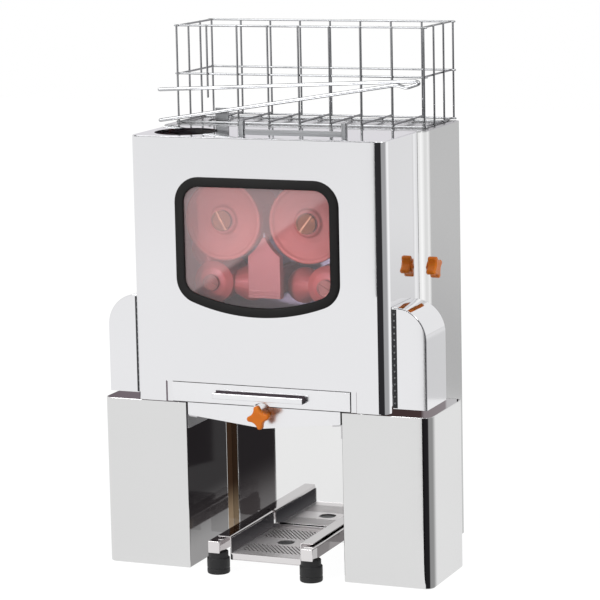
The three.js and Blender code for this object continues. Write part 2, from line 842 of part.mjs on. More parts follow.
// One bent rod: the upper leg, the hook at the basket's corner, the dip and the lower leg
function makeFeedGuide() {
  const y = basketFront - wireRadius - seat - guideRadius;
  const points = [
    [guideLeft, guideUpperLeft], [guideHook, guideUpperRight],
    [guideHook, guideUpperRight - guideHookDrop], [guideDip, guideDipHeight],
    [guideJoin, guideJoinHeight], [guideLeft, guideLowerLeft]];
  const rods = [];
  for (let i = 1; i < points.length; i += 1) {
    const [start, end] = [points[i - 1], points[i]].map(([x, z]) => [x, y, z]);
    rods.push(wire(start, end, guideRadius, guideSides));
    if (i < points.length - 1) {
      const elbow = new THREE.SphereGeometry(guideRadius, guideSides, guideSides / 2);
      rods.push(solid(elbow.rotateX(Math.PI / 2).translate(...end)));
    }
  }
  place('feed_guide', join(...rods), chromeWire);
}

// A cup drum: a turned body with a dished front and a ring of round pockets
function makeCupDrum(side) {
  const x = side * cupAxisX;
  const bore = shaftRadius + seat;
  const front = cupDrumFront;
  const dish = front + dishDepth;
  const hub = front + drumHubSetback;
  const profile = [[bore, hub], [drumHubRadius, hub], [drumHubRadius + drumHubSlope, dish],
    [drumRadius - 2 * rimWidth, dish - dishDepth / 3], [drumRadius - rimWidth, front],
    [drumRadius, front], [drumRadius, front + drumFlange], [drumBodyRadius, front + drumFlange],
    [drumBodyRadius, drumBack], [bore, drumBack]];
  let drum = turned(profile, x, cupAxisZ, drumSides);
  for (let cup = 0; cup < cupsPerDrum; cup += 1) {
    const turn = cupTurn(side) + cup * 2 * Math.PI / cupsPerDrum;
    const pocket = new THREE.SphereGeometry(cupRadius, headSides, headRings);
    pocket.translate(x + pitchRadius * Math.cos(turn), squeezeY, cupAxisZ + pitchRadius * Math.sin(turn));
    drum = cut(drum, solid(pocket));
  }
  place(sideName(side, 'cup_drum'), drum, cupPlastic);
}

// The ball that meets a cup stands as far from the line of centres as the cup does
function ballTurn(side) {
  return side === right ? restTurn * degree : Math.PI - restTurn * degree;
}

function cupTurn(side) {
  const toCup = Math.atan2(cupAxisZ - ballAxisZ, side * (cupAxisX - ballAxisX));
  return toCup + Math.PI - (ballTurn(side) - toCup);
}

function makeBallDrum(side) {
  const x = side * ballAxisX;
  const bore = shaftRadius + seat;
  const profile = [[bore, ballDrumFront], [drumHubRadius, ballDrumFront],
    [ballHubRadius, ballDrumFront + ballHubBevel], [ballHubRadius, drumBack - ballHubBevel],
    [ballHubRadius - ballHubBevel, drumBack], [bore, drumBack]];
  let drum = turned(profile, x, ballAxisZ, ballHubSides);
  for (let ball = 0; ball < cupsPerDrum; ball += 1) {
    const turn = ballTurn(side) + ball * 2 * Math.PI / cupsPerDrum;
    const head = new THREE.SphereGeometry(ballRadius, headSides, headRings);
    head.translate(x + pitchRadius * Math.cos(turn), squeezeY, ballAxisZ + pitchRadius * Math.sin(turn));
    drum = join(drum, solid(head));
  }
  const shaftHole = rodY(bore, x, ballAxisZ, ballDrumFront - overrun, drumBack + overrun);
  place(sideName(side, 'ball_drum'), cut(drum, shaftHole), ballPlastic);
}

// A slotted nut on the shaft's front stub
function makeDrumNut(name, x, z, drumFront, radius) {
  const back = drumFront - seat;
  const front = back - nutLength;
  const profile = [[0, front], [radius - sheet, front], [radius, front + sheet], [radius, back], [0, back]];
  const points = profile.map(([r, y]) => new THREE.Vector2(r, y));
  const head = solid(new THREE.LatheGeometry(points, roundSides).translate(x, 0, z));
  const bore = rodY(stubRadius + seat, x, z, back - stubLength, back + overrun);
  const slot = block(x - nutSlotWidth / 2, x + nutSlotWidth / 2, front - overrun, front + nutSlotDepth,
    z - radius, z + radius);
  place(name, cut(head, bore, slot), brass);
}

// An involute gear's outline. The phase turns the middle of the first tooth from +X.
function gearShape(teeth, phase) {
  const pitch = gearModule * teeth / 2;
  const base = pitch * Math.cos(pressureAngle * degree);
  const tip = pitch + toothAddendumShare * gearModule;
  const root = pitch - toothDedendumShare * gearModule;
  const involute = (radius) => {
    const turn = Math.acos(base / Math.max(radius, base));
    return Math.tan(turn) - turn;
  };
  const halfTooth = Math.PI / 2 / teeth - toothBacklash / 4 / pitch;
  const halfAt = (radius) => halfTooth + involute(pitch) - involute(radius);
  const flank = [root, pitch, tip];
  const points = [];
  for (let tooth = 0; tooth < teeth; tooth += 1) {
    const middle = phase + tooth * 2 * Math.PI / teeth;
    for (const radius of flank) points.push([radius, middle - halfAt(radius)]);
    for (const radius of [...flank].reverse()) points.push([radius, middle + halfAt(radius)]);
  }
  return outline(points.map(([radius, turn]) => [radius * Math.cos(turn), radius * Math.sin(turn)]));
}

// The phase at which a second gear meshes with a first one, which lies in the given direction
function meshPhase(firstPhase, firstTeeth, direction, secondTeeth) {
  const lag = (firstPhase - direction) * firstTeeth / secondTeeth;
  return direction + Math.PI - lag + Math.PI / secondTeeth;
}

function gearAt(teeth, phase, x, z) {
  const options = { depth: gearWidth, bevelEnabled: false };
  const geometry = new THREE.ExtrudeGeometry(gearShape(teeth, phase), options);
  return solid(geometry.rotateX(Math.PI / 2).translate(x, gearFront + gearWidth, z));
}

function makeShaft(name, x, z, drumFront, phase) {
  const front = drumFront - stubLength + seat;
  const back = rearPlateBack + shaftTail;
  const shaft = join(
    rodY(stubRadius, x, z, front, drumFront + stubLap),
    rodY(shaftRadius, x, z, drumFront + seat, back),
    gearAt(gearTeeth, phase, x, z));
  place(name, shaft, gearSteel);
}

// The pinion drives the left cup shaft and, through the idler, the right one
function makeGearTrain() {
  const direction = (fromX, fromZ, toX, toZ) => Math.atan2(toZ - fromZ, toX - fromX);
  const pinionPhase = 0;
  const idlerPhase = meshPhase(pinionPhase, pinionTeeth, 0, pinionTeeth);
  for (const side of [left, right]) {
    const drivePhase = side === left ? pinionPhase : idlerPhase;
    const down = direction(side * pinionPitch, pinionZ, side * cupAxisX, cupAxisZ);
    const cupPhase = meshPhase(drivePhase, pinionTeeth, down, gearTeeth);
    const toBall = direction(side * cupAxisX, cupAxisZ, side * ballAxisX, ballAxisZ);
    const ballPhase = meshPhase(cupPhase, gearTeeth, toBall, gearTeeth);
    makeShaft(sideName(side, 'cup_shaft'), side * cupAxisX, cupAxisZ, cupDrumFront + drumHubSetback,
      cupPhase);
    makeShaft(sideName(side, 'ball_shaft'), side * ballAxisX, ballAxisZ, ballDrumFront, ballPhase);
  }
  const tail = (side, back) => rodY(pinionShaftRadius, side * pinionPitch, pinionZ,
    gearFront - seat, back);
  const pinion = join(gearAt(pinionTeeth, pinionPhase, -pinionPitch, pinionZ),
    tail(left, rearPlateBack + motorBore - sheet));
  const idler = join(gearAt(pinionTeeth, idlerPhase, pinionPitch, pinionZ),
    tail(right, rearPlateBack + shaftTail));
  place('pinion', pinion, gearSteel);
  place('idler_gear', idler, gearSteel);
}

function makeGearmotor() {
  const x = -pinionPitch;
  const front = rearPlateBack + seat;
  const half = gearboxWidth / 2;
  const box = block(x - half, x + half, front, front + gearboxDepth, pinionZ - half, pinionZ + half);
  const can = rodY(motorRadius, x, pinionZ, front + gearboxDepth - sheet,
    front + gearboxDepth + motorLength, drumSides);
  const bore = rodY(pinionShaftRadius + seat, x, pinionZ, front - overrun, front + motorBore);
  place('gearmotor', cut(join(box, can), bore), castAlloy);
}

// The holder's front block fits between the cup drums, and its bar carries the blade
function makeKnife() {
  const clear = drumRadius + wedgeClear;
  const arcZ = cupAxisZ + wedgeArcLift;
  const points = [[-wedgeHalf, wedgeBottom], [wedgeHalf, wedgeBottom]];
  const startTurn = Math.acos((wedgeHalf - cupAxisX) / clear);
  const endTurn = Math.acos((wedgeTipHalf - cupAxisX) / clear);
  const rightArc = [];
  for (let i = 0; i <= arcSteps; i += 1) {
    const turn = startTurn + (endTurn - startTurn) * i / arcSteps;
    rightArc.push([cupAxisX + clear * Math.cos(turn), arcZ - clear * Math.sin(turn)]);
  }
  const leftArc = rightArc.map(([x, z]) => [-x, z]).reverse();
  const frontBlock = frontToBack(outline([...points, ...rightArc, ...leftArc]), wedgeFront, wedgeBack);
  const bar = block(-barHalf, barHalf, wedgeBack - sheet, plateFront - seat, wedgeBottom, barTop);
  const groove = block(-bladeThickness / 2 - seat, bladeThickness / 2 + seat, bladeFront - seat,
    bladeBack + seat, barTop - bladeSink, bladeTop + bladeTip + overrun);
  place('knife_holder', cut(join(frontBlock, bar), groove), cupPlastic);
  const blade = outline([[bladeFront, barTop - bladeSink + seat], [bladeBack, barTop - bladeSink + seat],
    [bladeBack, bladeTop - bladeRake], [bladeFront + bladeRake, bladeTop],
    [bladeFront, bladeTop + bladeTip]]);
  place('knife', across(blade, -bladeThickness / 2, bladeThickness / 2), polishedSteel);
}

function makeDeflector(side) {
  const upper = [];
  const lower = [];
  for (let i = 0; i <= arcSteps; i += 1) {
    const share = i / arcSteps;
    const x = deflectorInner + (deflectorOuter - deflectorInner) * share;
    const z = deflectorTop + (deflectorBottom - deflectorTop) * share
      - deflectorSag * Math.sin(Math.PI * share);
    upper.push([side * x, z + sheet]);
    lower.push([side * x, z]);
  }
  const slope = frontToBack(outline([...upper, ...lower.reverse()]), deflectorFront, cabinetFront - seat);
  const tab = block(side * (deflectorInner + sheet), side * (deflectorInner + flangeWidth),
    cabinetFront - seat - sheet, plateFront - seat,
    deflectorTop - deflectorSag, deflectorTop + flangeWidth);
  place(sideName(side, 'peel_deflector'), join(slope, tab), cupPlastic);
}

// A rail holds the drawer on its shelf and shows as a bright flange in the hood's notch
function makeDrawerRail(side) {
  const shelfTop = trayBottom - seat;
  const back = cabinetFront - seat;
  const shelf = block(side * railShelfInner, side * (railWeb + sheet), railFront, back,
    shelfTop - sheet, shelfTop);
  const web = block(side * railWeb, side * (railWeb + sheet), railFront, back,
    hoodFrontBottom, notchTop - seat);
  const flange = block(side * (drawerHalf + seat), side * railFlangeOuter, sheet + seat,
    railFront, hoodFrontBottom, notchTop - seat);
  const tab = block(side * railWeb, side * (railWeb + railTab), back - sheet, back,
    hoodFrontBottom, notchTop - seat);
  place(sideName(side, 'drawer_rail'), join(shelf, web, flange, tab), polishedSteel);
}

function makeDrawer() {
  const panel = block(-drawerHalf, drawerHalf, 0, sheet, drawerBottom, drawerTop);
  const pull = join(
    block(-pullHalf, pullHalf, -pullReach, sheet, pullBottom, pullBottom + sheet),
    block(-pullHalf, pullHalf, -pullReach, -pullReach + sheet, pullBottom, pullTop));
  const outer = block(-trayHalf, trayHalf, 0, trayDepth, trayBottom, trayTop);
  const hollow = block(-trayHalf + thinSheet, trayHalf - thinSheet, sheet, trayDepth - thinSheet,
    trayBottom + thinSheet, trayTop + overrun);
  const opening = block(-trayHalf + trayLedge, trayHalf - trayLedge, trayLedge / 2,
    trayDepth - trayLedge / 2, trayBottom - overrun, trayTop);
  place('filter_drawer', join(panel, pull, cut(outer, hollow, opening)), polishedSteel);
}

// The loose strainer lies on the drawer's ledge
function makeFilterScreen() {
  const half = trayHalf - thinSheet - seat;
  const bottom = trayBottom + thinSheet + seat;
  const front = sheet + seat;
  const back = trayDepth - thinSheet - seat;
  let screen = block(-half, half, front, back, bottom, bottom + thinSheet);
  const usable = 2 * (trayHalf - trayLedge) - filterSlotWidth * 2;
  for (let i = 0; i < filterSlots; i += 1) {
    const x = -usable / 2 + (i + 0.5) * usable / filterSlots;
    for (const step of [-1, 1]) {
      const y = (front + back) / 2 + step * (filterSlotLength / 2 + filterSlotWidth);
      screen = cut(screen, block(x - filterSlotWidth / 2, x + filterSlotWidth / 2,
        y - filterSlotLength / 2, y + filterSlotLength / 2, bottom - overrun, bottom + overrun));
    }
  }
  place('filter_screen', screen, brushedSteel);
}

// A shallow tank whose floor falls to the middle
function makeTank() {
  const section = (inset, top) => outline([
    [-tankHalf + inset, top], [-tankHalf + inset, tankSideBottom + inset],
    [0, tankMiddleBottom + inset], [tankHalf - inset, tankSideBottom + inset], [tankHalf - inset, top]]);
  const outer = frontToBack(section(0, tankTop), tankFront, tankBack);
  const hollow = frontToBack(section(thinSheet, tankTop + overrun), tankFront + thinSheet,
    tankBack - thinSheet);
  const outlet = rodZ(tankOutletRadius, 0, tankOutletY, tankMiddleBottom - overrun,
    tankMiddleBottom + thinSheet + overrun);
  const screwHole = rodY(screwRadius + seat, tankKnobX, tankKnobZ, tankFront - overrun,
    tankFront + thinSheet + overrun);
  place('juice_tank', cut(outer, hollow, outlet, screwHole), polishedSteel);
}

function makeTankKnob() {
  const hubBack = tankFront - seat;
  const starBack = hubBack - tankHubLength - tankStarGap;
  const options = { depth: tankStarThickness, bevelEnabled: false, curveSegments: starCurveSteps };
  const head = new THREE.ExtrudeGeometry(starShape(), options).rotateX(Math.PI / 2);
  head.translate(tankKnobX, starBack, tankKnobZ);
  const hub = rodY(hubRadius, tankKnobX, tankKnobZ, starBack - sheet, hubBack);
  const screw = rodY(screwRadius, tankKnobX, tankKnobZ, hubBack - sheet, hubBack + tankHubLength);
  place('tank_knob', join(solid(head), hub, screw), orangeKnob);
}

// A ledge under the tank's sloping edge, stiffened by a leg beside the bin
function makeTankRail(side) {
  const outer = binInner - seat;
  const inner = outer - tankRailWidth;
  const slope = (tankSideBottom - tankMiddleBottom) / tankHalf;
  const ledgeTop = (x) => tankSideBottom - slope * (tankHalf - Math.min(x, tankHalf)) - seat;
  const shape = outline([
    [side * inner, ledgeTop(inner)], [side * inner, ledgeTop(inner) - sheet],
    [side * (outer - sheet), ledgeTop(outer - sheet) - sheet],
    [side * (outer - sheet), ledgeTop(outer) - tankRailDrop],
    [side * outer, ledgeTop(outer) - tankRailDrop], [side * outer, ledgeTop(outer)],
    [side * tankHalf, ledgeTop(tankHalf)]]);
  place(sideName(side, 'tank_rail'), frontToBack(shape, tankFront + sheet, baseFront - seat), brushedSteel);
}

function makeBin(side) {
  const round = side === left ? [cornerRadius, 0, 0, cornerRadius] : [0, cornerRadius, cornerRadius, 0];
  const innerRound = round.map((radius) => Math.max(0, radius - thinSheet));
  const [x0, x1] = side === left ? [-binOuter, -binInner] : [binInner, binOuter];
  const outer = upright(plan(x0, x1, binFront, binBack, round), 0, binTop);
  const hollow = upright(plan(x0 + thinSheet, x1 - thinSheet, binFront + thinSheet,
    binBack - thinSheet, innerRound), thinSheet, binTop + overrun);
  place(sideName(side, 'peel_bin'), cut(outer, hollow), polishedSteel);
}

// The pan hangs by its side flanges on the two base tubes
function makeDripPan() {
  const inner = panHalf - thinSheet;
  const rimTop = tubeTop + seat + thinSheet;
  const outer = block(-panHalf, panHalf, panFront, panBack, panFloor, rimTop);
  const flanges = block(-panFlangeOuter, panFlangeOuter, panFront, panBack, tubeTop + seat, rimTop);
  const hollow = block(-inner, inner, panFront + thinSheet, panBack - thinSheet,
    panFloor + thinSheet, rimTop + overrun);
  const frontLow = block(-inner, inner, panFront - overrun, panFront + thinSheet + overrun,
    panFrontTop, rimTop + overrun);
  const rearLow = block(-inner, inner, panBack - thinSheet - overrun, panBack + overrun,
    panRearTop, rimTop + overrun);
  place('drip_pan', cut(join(outer, flanges), hollow, frontLow, rearLow), polishedSteel);
}

// Slanting slots, held between the band's ends and the plate's side margins
function slottedBand(half, start, end) {
  const lean = (end - start) * grilleSlantShare;
  const z0 = grilleTop - thinSheet - overrun;
  const z1 = grilleTop + overrun;
  const slots = [];
  for (let x = -half; x < half + lean - grilleSlotWidth; x += grillePitch) {
    slots.push(upright(outline([[x, start], [x + grilleSlotWidth, start],
      [x + grilleSlotWidth - lean, end], [x - lean, end]]), z0, z1));
  }
  const usable = block(-half, half, start, end, z0, z1);
  return join(...slots).intersect(usable);
}

// The grille is a folded plate with two bands of slanting slots and a finger hole
function makeDripGrille() {
  const half = panHalf - thinSheet - seat;
  const front = panFront + thinSheet + seat;
  const back = panBack - thinSheet - seat;
  const bottom = panFloor + thinSheet + seat;
  const outer = block(-half, half, front, back, bottom, grilleTop);
  const under = block(-half + thinSheet, half - thinSheet, front - overrun, back + overrun,
    bottom - overrun, grilleTop - thinSheet);
  let grille = cut(outer, under);
  const bands = [
    [front + grilleFrontMargin, grilleHoleY - grilleHoleRadius - grilleHoleMargin],
    [grilleHoleY + grilleHoleRadius + grilleHoleMargin, back - grilleRearMargin]];
  for (const [start, end] of bands) {
    grille = cut(grille, slottedBand(half - grilleSideMargin, start, end));
  }
  const hole = rodZ(grilleHoleRadius, 0, grilleHoleY, grilleTop - thinSheet - overrun,
    grilleTop + overrun, holeSides);
  place('drip_grille', cut(grille, hole), brushedSteel);
}

makeCabinetShell();
makeFrontPlate();
makeRearPlate();
makeBaseWall();
makeRearPanel();
makePowerInlet();
makeSwitches();
makeCrossTube();
makeFeet();
makeHoodShell();
makeWindow();
makeFruitRail();
makeFruitStop();
makeBasket();
makeFeedGuide();
makeGearTrain();
makeGearmotor();
makeKnife();
makeDrawer();
makeFilterScreen();
makeTank();
makeTankKnob();
makeDripPan();
makeDripGrille();
for (const side of [left, right]) {
  makeBaseTube(side);
  makeChute(side);
  makeHoodKnob(side);
  makeCupDrum(side);
  makeBallDrum(side);
  makeDrumNut(sideName(side, 'cup_nut'), side * cupAxisX, cupAxisZ, cupDrumFront + drumHubSetback,
    nutRadius);
  makeDrumNut(sideName(side, 'ball_nut'), side * ballAxisX, ballAxisZ, ballDrumFront, ballNutRadius);
  makeDeflector(side);
  makeDrawerRail(side);
  makeTankRail(side);
  makeBin(side);
}

// The finished machine stands over its origin, centred from front to back
const extent = new THREE.Box3().setFromObject(machine);
machine.position.y = -(extent.min.y + extent.max.y) / 2;

export default machine;
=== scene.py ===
# Counter-top orange juicer in polished stainless steel: looks, light and camera.
import math

import bmesh
import bpy
import numpy as np
from mathutils import Matrix, Vector


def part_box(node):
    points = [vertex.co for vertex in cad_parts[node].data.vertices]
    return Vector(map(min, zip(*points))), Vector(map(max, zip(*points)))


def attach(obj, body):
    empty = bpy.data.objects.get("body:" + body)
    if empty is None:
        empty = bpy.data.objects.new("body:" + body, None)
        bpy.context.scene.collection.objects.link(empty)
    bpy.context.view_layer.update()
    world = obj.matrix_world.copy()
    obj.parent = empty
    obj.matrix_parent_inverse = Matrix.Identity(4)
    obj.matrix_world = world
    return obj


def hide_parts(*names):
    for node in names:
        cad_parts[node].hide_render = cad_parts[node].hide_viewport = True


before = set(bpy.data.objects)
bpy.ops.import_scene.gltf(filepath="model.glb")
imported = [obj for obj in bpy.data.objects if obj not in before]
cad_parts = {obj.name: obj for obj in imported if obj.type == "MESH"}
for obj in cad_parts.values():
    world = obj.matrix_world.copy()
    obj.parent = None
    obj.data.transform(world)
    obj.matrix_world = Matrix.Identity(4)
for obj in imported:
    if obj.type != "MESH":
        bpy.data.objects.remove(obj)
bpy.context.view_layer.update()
mm = 0.001  # every size below is in millimetres until it becomes a mesh
seat = 0.3  # gap between pieces that touch
sides = {"left": -1, "right": 1}
print("frame loaded:", len(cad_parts), "nodes")


# Lowest and highest corner of a CAD node, in millimetres
def span(node):
    low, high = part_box(node)
    return np.array(low) / mm, np.array(high) / mm


hoodLow, hoodHigh = span("hood_shell")
frontY = hoodLow[1]  # the plane of the hood's front face


# Camera, fitted to the edges of the machine in the photograph

cameraView = {
    "place": (1.5381, -3.6552, 1.0684),
    "azimuth": 22.69,
    "pitch": 8.80,
    "roll": 1.19,
    "lens": 165.8,
    "sensor": 36.0,
    "shift": (-0.0024, -0.0862),
}


# Forward from azimuth and pitch; right and down are then turned about it by the roll
def makeCamera():
    azimuth, pitch, roll = (math.radians(cameraView[k]) for k in ("azimuth", "pitch", "roll"))
    level = math.cos(pitch)
    forward = Vector((-math.sin(azimuth) * level, math.cos(azimuth) * level, -math.sin(pitch)))
    right = Vector((math.cos(azimuth), math.sin(azimuth), 0))
    down = forward.cross(right)
    turnedRight = right * math.cos(roll) + down * math.sin(roll)
    turnedDown = down * math.cos(roll) - right * math.sin(roll)
    data = bpy.data.cameras.new("studioCamera")
    data.lens = cameraView["lens"]
    data.sensor_width = cameraView["sensor"]
    data.shift_x, data.shift_y = cameraView["shift"]
    data.clip_start, data.clip_end = 0.05, 50
    camera = bpy.data.objects.new("studioCamera", data)
    bpy.context.scene.collection.objects.link(camera)
    turn = Matrix((turnedRight, -turnedDown, -forward)).transposed()
    camera.matrix_world = Matrix.Translation(cameraView["place"]) @ turn.to_4x4()
    bpy.context.scene.camera = camera


makeCamera()
print("camera set")


# Small tools for colours, shader nodes and meshes

# sRGB hex to linear light
def linear(hexText, alpha=1.0):
    parts = np.array([int(hexText[i:i + 2], 16) for i in (1, 3, 5)]) / 255
    low = parts / 12.92
    high = ((parts + 0.055) / 1.055) ** 2.4
    return (*np.where(parts <= 0.04045, low, high), alpha)


# One shader node: settings are its own, inputs are values or (node, output) links
def addNode(tree, kind, inputs=None, **settings):
    made = tree.nodes.new("ShaderNode" + kind)
    for key, value in settings.items():
        setattr(made, key, value)
    for key, value in (inputs or {}).items():
        if isinstance(value, tuple) and len(value) == 2 and hasattr(value[0], "outputs"):
            tree.links.new(value[0].outputs[value[1]], made.inputs[key])
        else:
            made.inputs[key].default_value = value
    return made


mixShade, mixTint, mixColour = 6, 7, 2  # colour sockets of a Mix node: two inputs, one output


def newMaterial(name):
    made = bpy.data.materials.new(name)
    made.use_nodes = True
    made.node_tree.nodes.clear()
    return made, made.node_tree


def endMaterial(tree, shader):
    end = tree.nodes.new("ShaderNodeOutputMaterial")
    tree.links.new(shader.outputs[0], end.inputs["Surface"])


def newPatch():
    return {"points": [], "quads": [], "loops": [], "count": 0}


# Quads over rows of points; wrapU and wrapV close them; keep drops quads that a cut-out takes
def addGrid(patch, points, wrapU=False, wrapV=False, keep=None):
    points = np.asarray(points, float)
    count = points.shape[0] * points.shape[1]
    index = patch["count"] + np.arange(count).reshape(points.shape[:2])
    if wrapU:
        index = np.vstack([index, index[:1]])
    if wrapV:
        index = np.hstack([index, index[:, :1]])
    quads = np.stack([index[:-1, :-1], index[1:, :-1], index[1:, 1:], index[:-1, 1:]], -1)
    patch["quads"].append(quads[keep] if keep is not None else quads.reshape(-1, 4))
    patch["points"].append(points.reshape(-1, 3))
    patch["count"] += count


# One flat face over a loop of points
def addCap(patch, loop):
    loop = np.asarray(loop, float)
    patch["loops"].append(list(range(patch["count"], patch["count"] + len(loop))))
    patch["points"].append(loop)
    patch["count"] += len(loop)


# Merges the patches' shared points and turns the faces outwards
def toMesh(name, patch, flip):
    merge, vanish = 2e-6, 1e-7  # metres below which points are one, and edges are nothing
    mesh = bpy.data.meshes.new(name)
    points = np.concatenate(patch["points"]) * mm
    faces = (np.concatenate(patch["quads"]).tolist() if patch["quads"] else []) + patch["loops"]
    mesh.from_pydata(points.tolist(), [], faces)
    work = bmesh.new()
    work.from_mesh(mesh)
    bmesh.ops.remove_doubles(work, verts=work.verts, dist=merge)
    bmesh.ops.dissolve_degenerate(work, edges=work.edges, dist=vanish)
    bmesh.ops.recalc_face_normals(work, faces=work.faces)
    if flip:
        bmesh.ops.reverse_faces(work, faces=work.faces)
    work.to_mesh(mesh)
    work.free()
    return mesh


# Applies a piece's modifiers
def bake(piece):
    bpy.context.view_layer.update()
    graph = bpy.context.evaluated_depsgraph_get()
    made = bpy.data.meshes.new_from_object(piece.evaluated_get(graph))
    piece.modifiers.clear()
    old = piece.data
    piece.data = made
    bpy.data.meshes.remove(old)
    made.name = piece.name


# Marks the sharp edges, and keeps large flat faces' normals flat beside their rounded edges
def settle(piece, sharpAngle):
    bake(piece)
    piece.data.shade_smooth()
    piece.data.set_sharp_from_angle(angle=math.radians(sharpAngle))
    flat = piece.modifiers.new("flat", "WEIGHTED_NORMAL")
    flat.keep_sharp = True
    flat.weight = 100
    bake(piece)


# Notes a piece whose box departs from that of the CAD nodes it replaces
def noteDrift(piece, replaced, allowed=1.0):
    low = np.min([span(n)[0] for n in replaced], 0)
    high = np.max([span(n)[1] for n in replaced], 0)
    box = np.array([c[:] for c in piece.bound_box]) / mm
    lowDrift, highDrift = box.min(0) - low, box.max(0) - high
    if max(np.abs(lowDrift).max(), np.abs(highDrift).max()) > allowed:
        print("  note:", piece.name, "differs from its CAD box by",
              np.round(lowDrift, 1), np.round(highDrift, 1), "mm")


# A finished piece: an optional wall thickness inwards, rounded edges and its place on a body
def makePiece(name, patch, material, body, replaced=(), wall=0.0, edge=0.0, sharpAngle=32,
              flip=False):
    piece = bpy.data.objects.new(name, toMesh(name, patch, flip))
    bpy.context.scene.collection.objects.link(piece)
    if wall:
        thick = piece.modifiers.new("wall", "SOLIDIFY")
        thick.thickness = wall * mm
        thick.offset = -1
        thick.use_even_offset = True
    if edge:
        bevel = piece.modifiers.new("edge", "BEVEL")
        bevel.width = edge * mm
        bevel.segments = 2
        bevel.limit_method = "ANGLE"
        bevel.angle_limit = math.radians(40)  # flatter bends stay as they are
    settle(piece, sharpAngle)
    piece.data.materials.clear()
    piece.data.materials.append(material)
    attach(piece, body)
    if replaced:
        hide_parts(*replaced)
        noteDrift(piece, replaced)


# Lines and outlines

# Places from start to end, no more than a step apart, through the extra ones between
def stretch(start, end, step, extra=()):
    inner = [e for e in extra if min(start, end) < e < max(start, end)]
    stops = sorted({start, end, *inner}, reverse=end < start)
    parts = [np.linspace(a, b, max(1, math.ceil(abs(b - a) / step)) + 1)[:-1]
             for a, b in zip(stops[:-1], stops[1:])]
    return np.concatenate([*parts, [end]])


def midway(line):
    return (line[:-1] + line[1:]) / 2


def fullTurn(count):
    return np.linspace(0, 2 * np.pi, count, endpoint=False)


# Points on a circle: centre + radius * (cos, sin) of each turn
def arcLine(centre, radius, turns):
    return np.asarray(centre) + radius * np.stack([np.cos(turns), np.sin(turns)], 1)


# A line of points at one place across, and one at a single height or depth
def upright(x, others):
    return np.stack([np.full(len(others), x), others], 1)


def levelLine(across, other):
    return np.stack([across, np.full(len(across), other)], 1)


# Rows from one line to another: both and the one halfway
def between(first, second):
    return [first + (second - first) * share for share in (0, 0.5, 1)]


# A closed rounded rectangle, anticlockwise from the front right corner: arcs about four centres;
# radii is one number, or one for the front right, back right, back left and front left corners
def planOutline(x0, x1, y0, y1, radii, steps=10, inset=0.0):
    corners = ((x1, y0, -1, 1, -90), (x1, y1, -1, -1, 0), (x0, y1, 1, -1, 90), (x0, y0, 1, 1, 180))
    arcs = []
    for (x, y, sx, sy, start), radius in zip(corners, np.broadcast_to(radii, 4)):
        keep = max(radius, inset)  # an inset past the radius leaves a plain corner
        turns = np.radians(np.linspace(start, start + 90, steps + 1))
        arcs.append(arcLine((x + sx * keep, y + sy * keep), keep - inset, turns))
    return np.concatenate(arcs)


# A plan outline at a height, or at one height for each point
def lifted(outline, z):
    return np.column_stack([outline, np.broadcast_to(z, len(outline))])


# An outline drawn from the front, as x and z, at a depth
def facing(outline, y):
    return np.column_stack([outline[:, 0], np.broadcast_to(y, len(outline)), outline[:, 1]])


# An outline drawn from the side, as y and z, at a place across
def sideways(outline, x):
    return np.column_stack([np.broadcast_to(x, len(outline)), outline])


# Where rays from a centre cross a closed outline around it: the nearest edge that each ray meets
def rayHits(outline, centre, angles):
    tiny = 1e-12
    a = (outline - centre)[None]
    d = arcLine((0, 0), 1.0, angles)[:, None]
    e = np.roll(a, -1, 1) - a
    cross = d[..., 0] * e[..., 1] - d[..., 1] * e[..., 0]
    safe = np.where(np.abs(cross) < tiny, tiny, cross)
    along = (a[..., 0] * e[..., 1] - a[..., 1] * e[..., 0]) / safe
    share = (a[..., 0] * d[..., 1] - a[..., 1] * d[..., 0]) / safe
    good = (along > 0) & (share > -1e-9) & (share < 1 + 1e-9) & (np.abs(cross) > tiny)
    return centre + d[:, 0] * np.where(good, along, np.inf).min(1)[:, None]


def anglesOf(outline, centre):
    return np.arctan2(*(outline - centre).T[::-1])


# Inset and offset of the rows of a rounded edge: radius * (1 - sin), radius * (1 - cos)
def quarterRound(radius, steps):
    turns = np.linspace(0, math.pi / 2, steps + 1)
    return radius * (1 - np.sin(turns)), radius * (1 - np.cos(turns))


# Unit normals of a closed outline that runs anticlockwise
def outwardNormals(outline):
    step = np.roll(outline, -1, 0) - np.roll(outline, 1, 0)
    normal = np.stack([step[:, 1], -step[:, 0]], 1)
    return normal / np.maximum(np.linalg.norm(normal, axis=1, keepdims=True), 1e-9)


# A closed outline carried along an axis, its end edges rounded: P = outline - normal * inset
def addPrism(patch, outline, start, depth, place, edge=0.5, steps=2):
    normals = outwardNormals(outline)
    inset, offset = quarterRound(edge, steps)
    rows = [place(outline - normals * i, start + o) for i, o in zip(
        [*inset, *inset[::-1]], [*offset, *(depth - offset[::-1])])]
    addGrid(patch, rows, wrapV=True)
    addCap(patch, rows[0])
    addCap(patch, rows[-1])


# A plate or bar with softly rounded edges
def addBlock(patch, low, high, edge=0.5, corner=0.5):
    outline = planOutline(low[0], high[0], low[1], high[1], corner, 3)
    addPrism(patch, outline, low[2], high[2] - low[2], lifted, edge)


# Radius and depth turned about an axis from front to back; the radius may change with the turn
def turnedGrid(radius, depth, x, z, turns):
    return np.stack([x + radius * np.cos(turns), np.repeat(depth[:, None], len(turns), 1),
                     z + radius * np.sin(turns)], -1)


# A profile of radius and depth turned into a solid
def addTurned(patch, profile, x, z, count):
    profile = np.asarray(profile, float)
    addGrid(patch, turnedGrid(profile[:, :1], profile[:, 1], x, z, fullTurn(count)), wrapV=True)


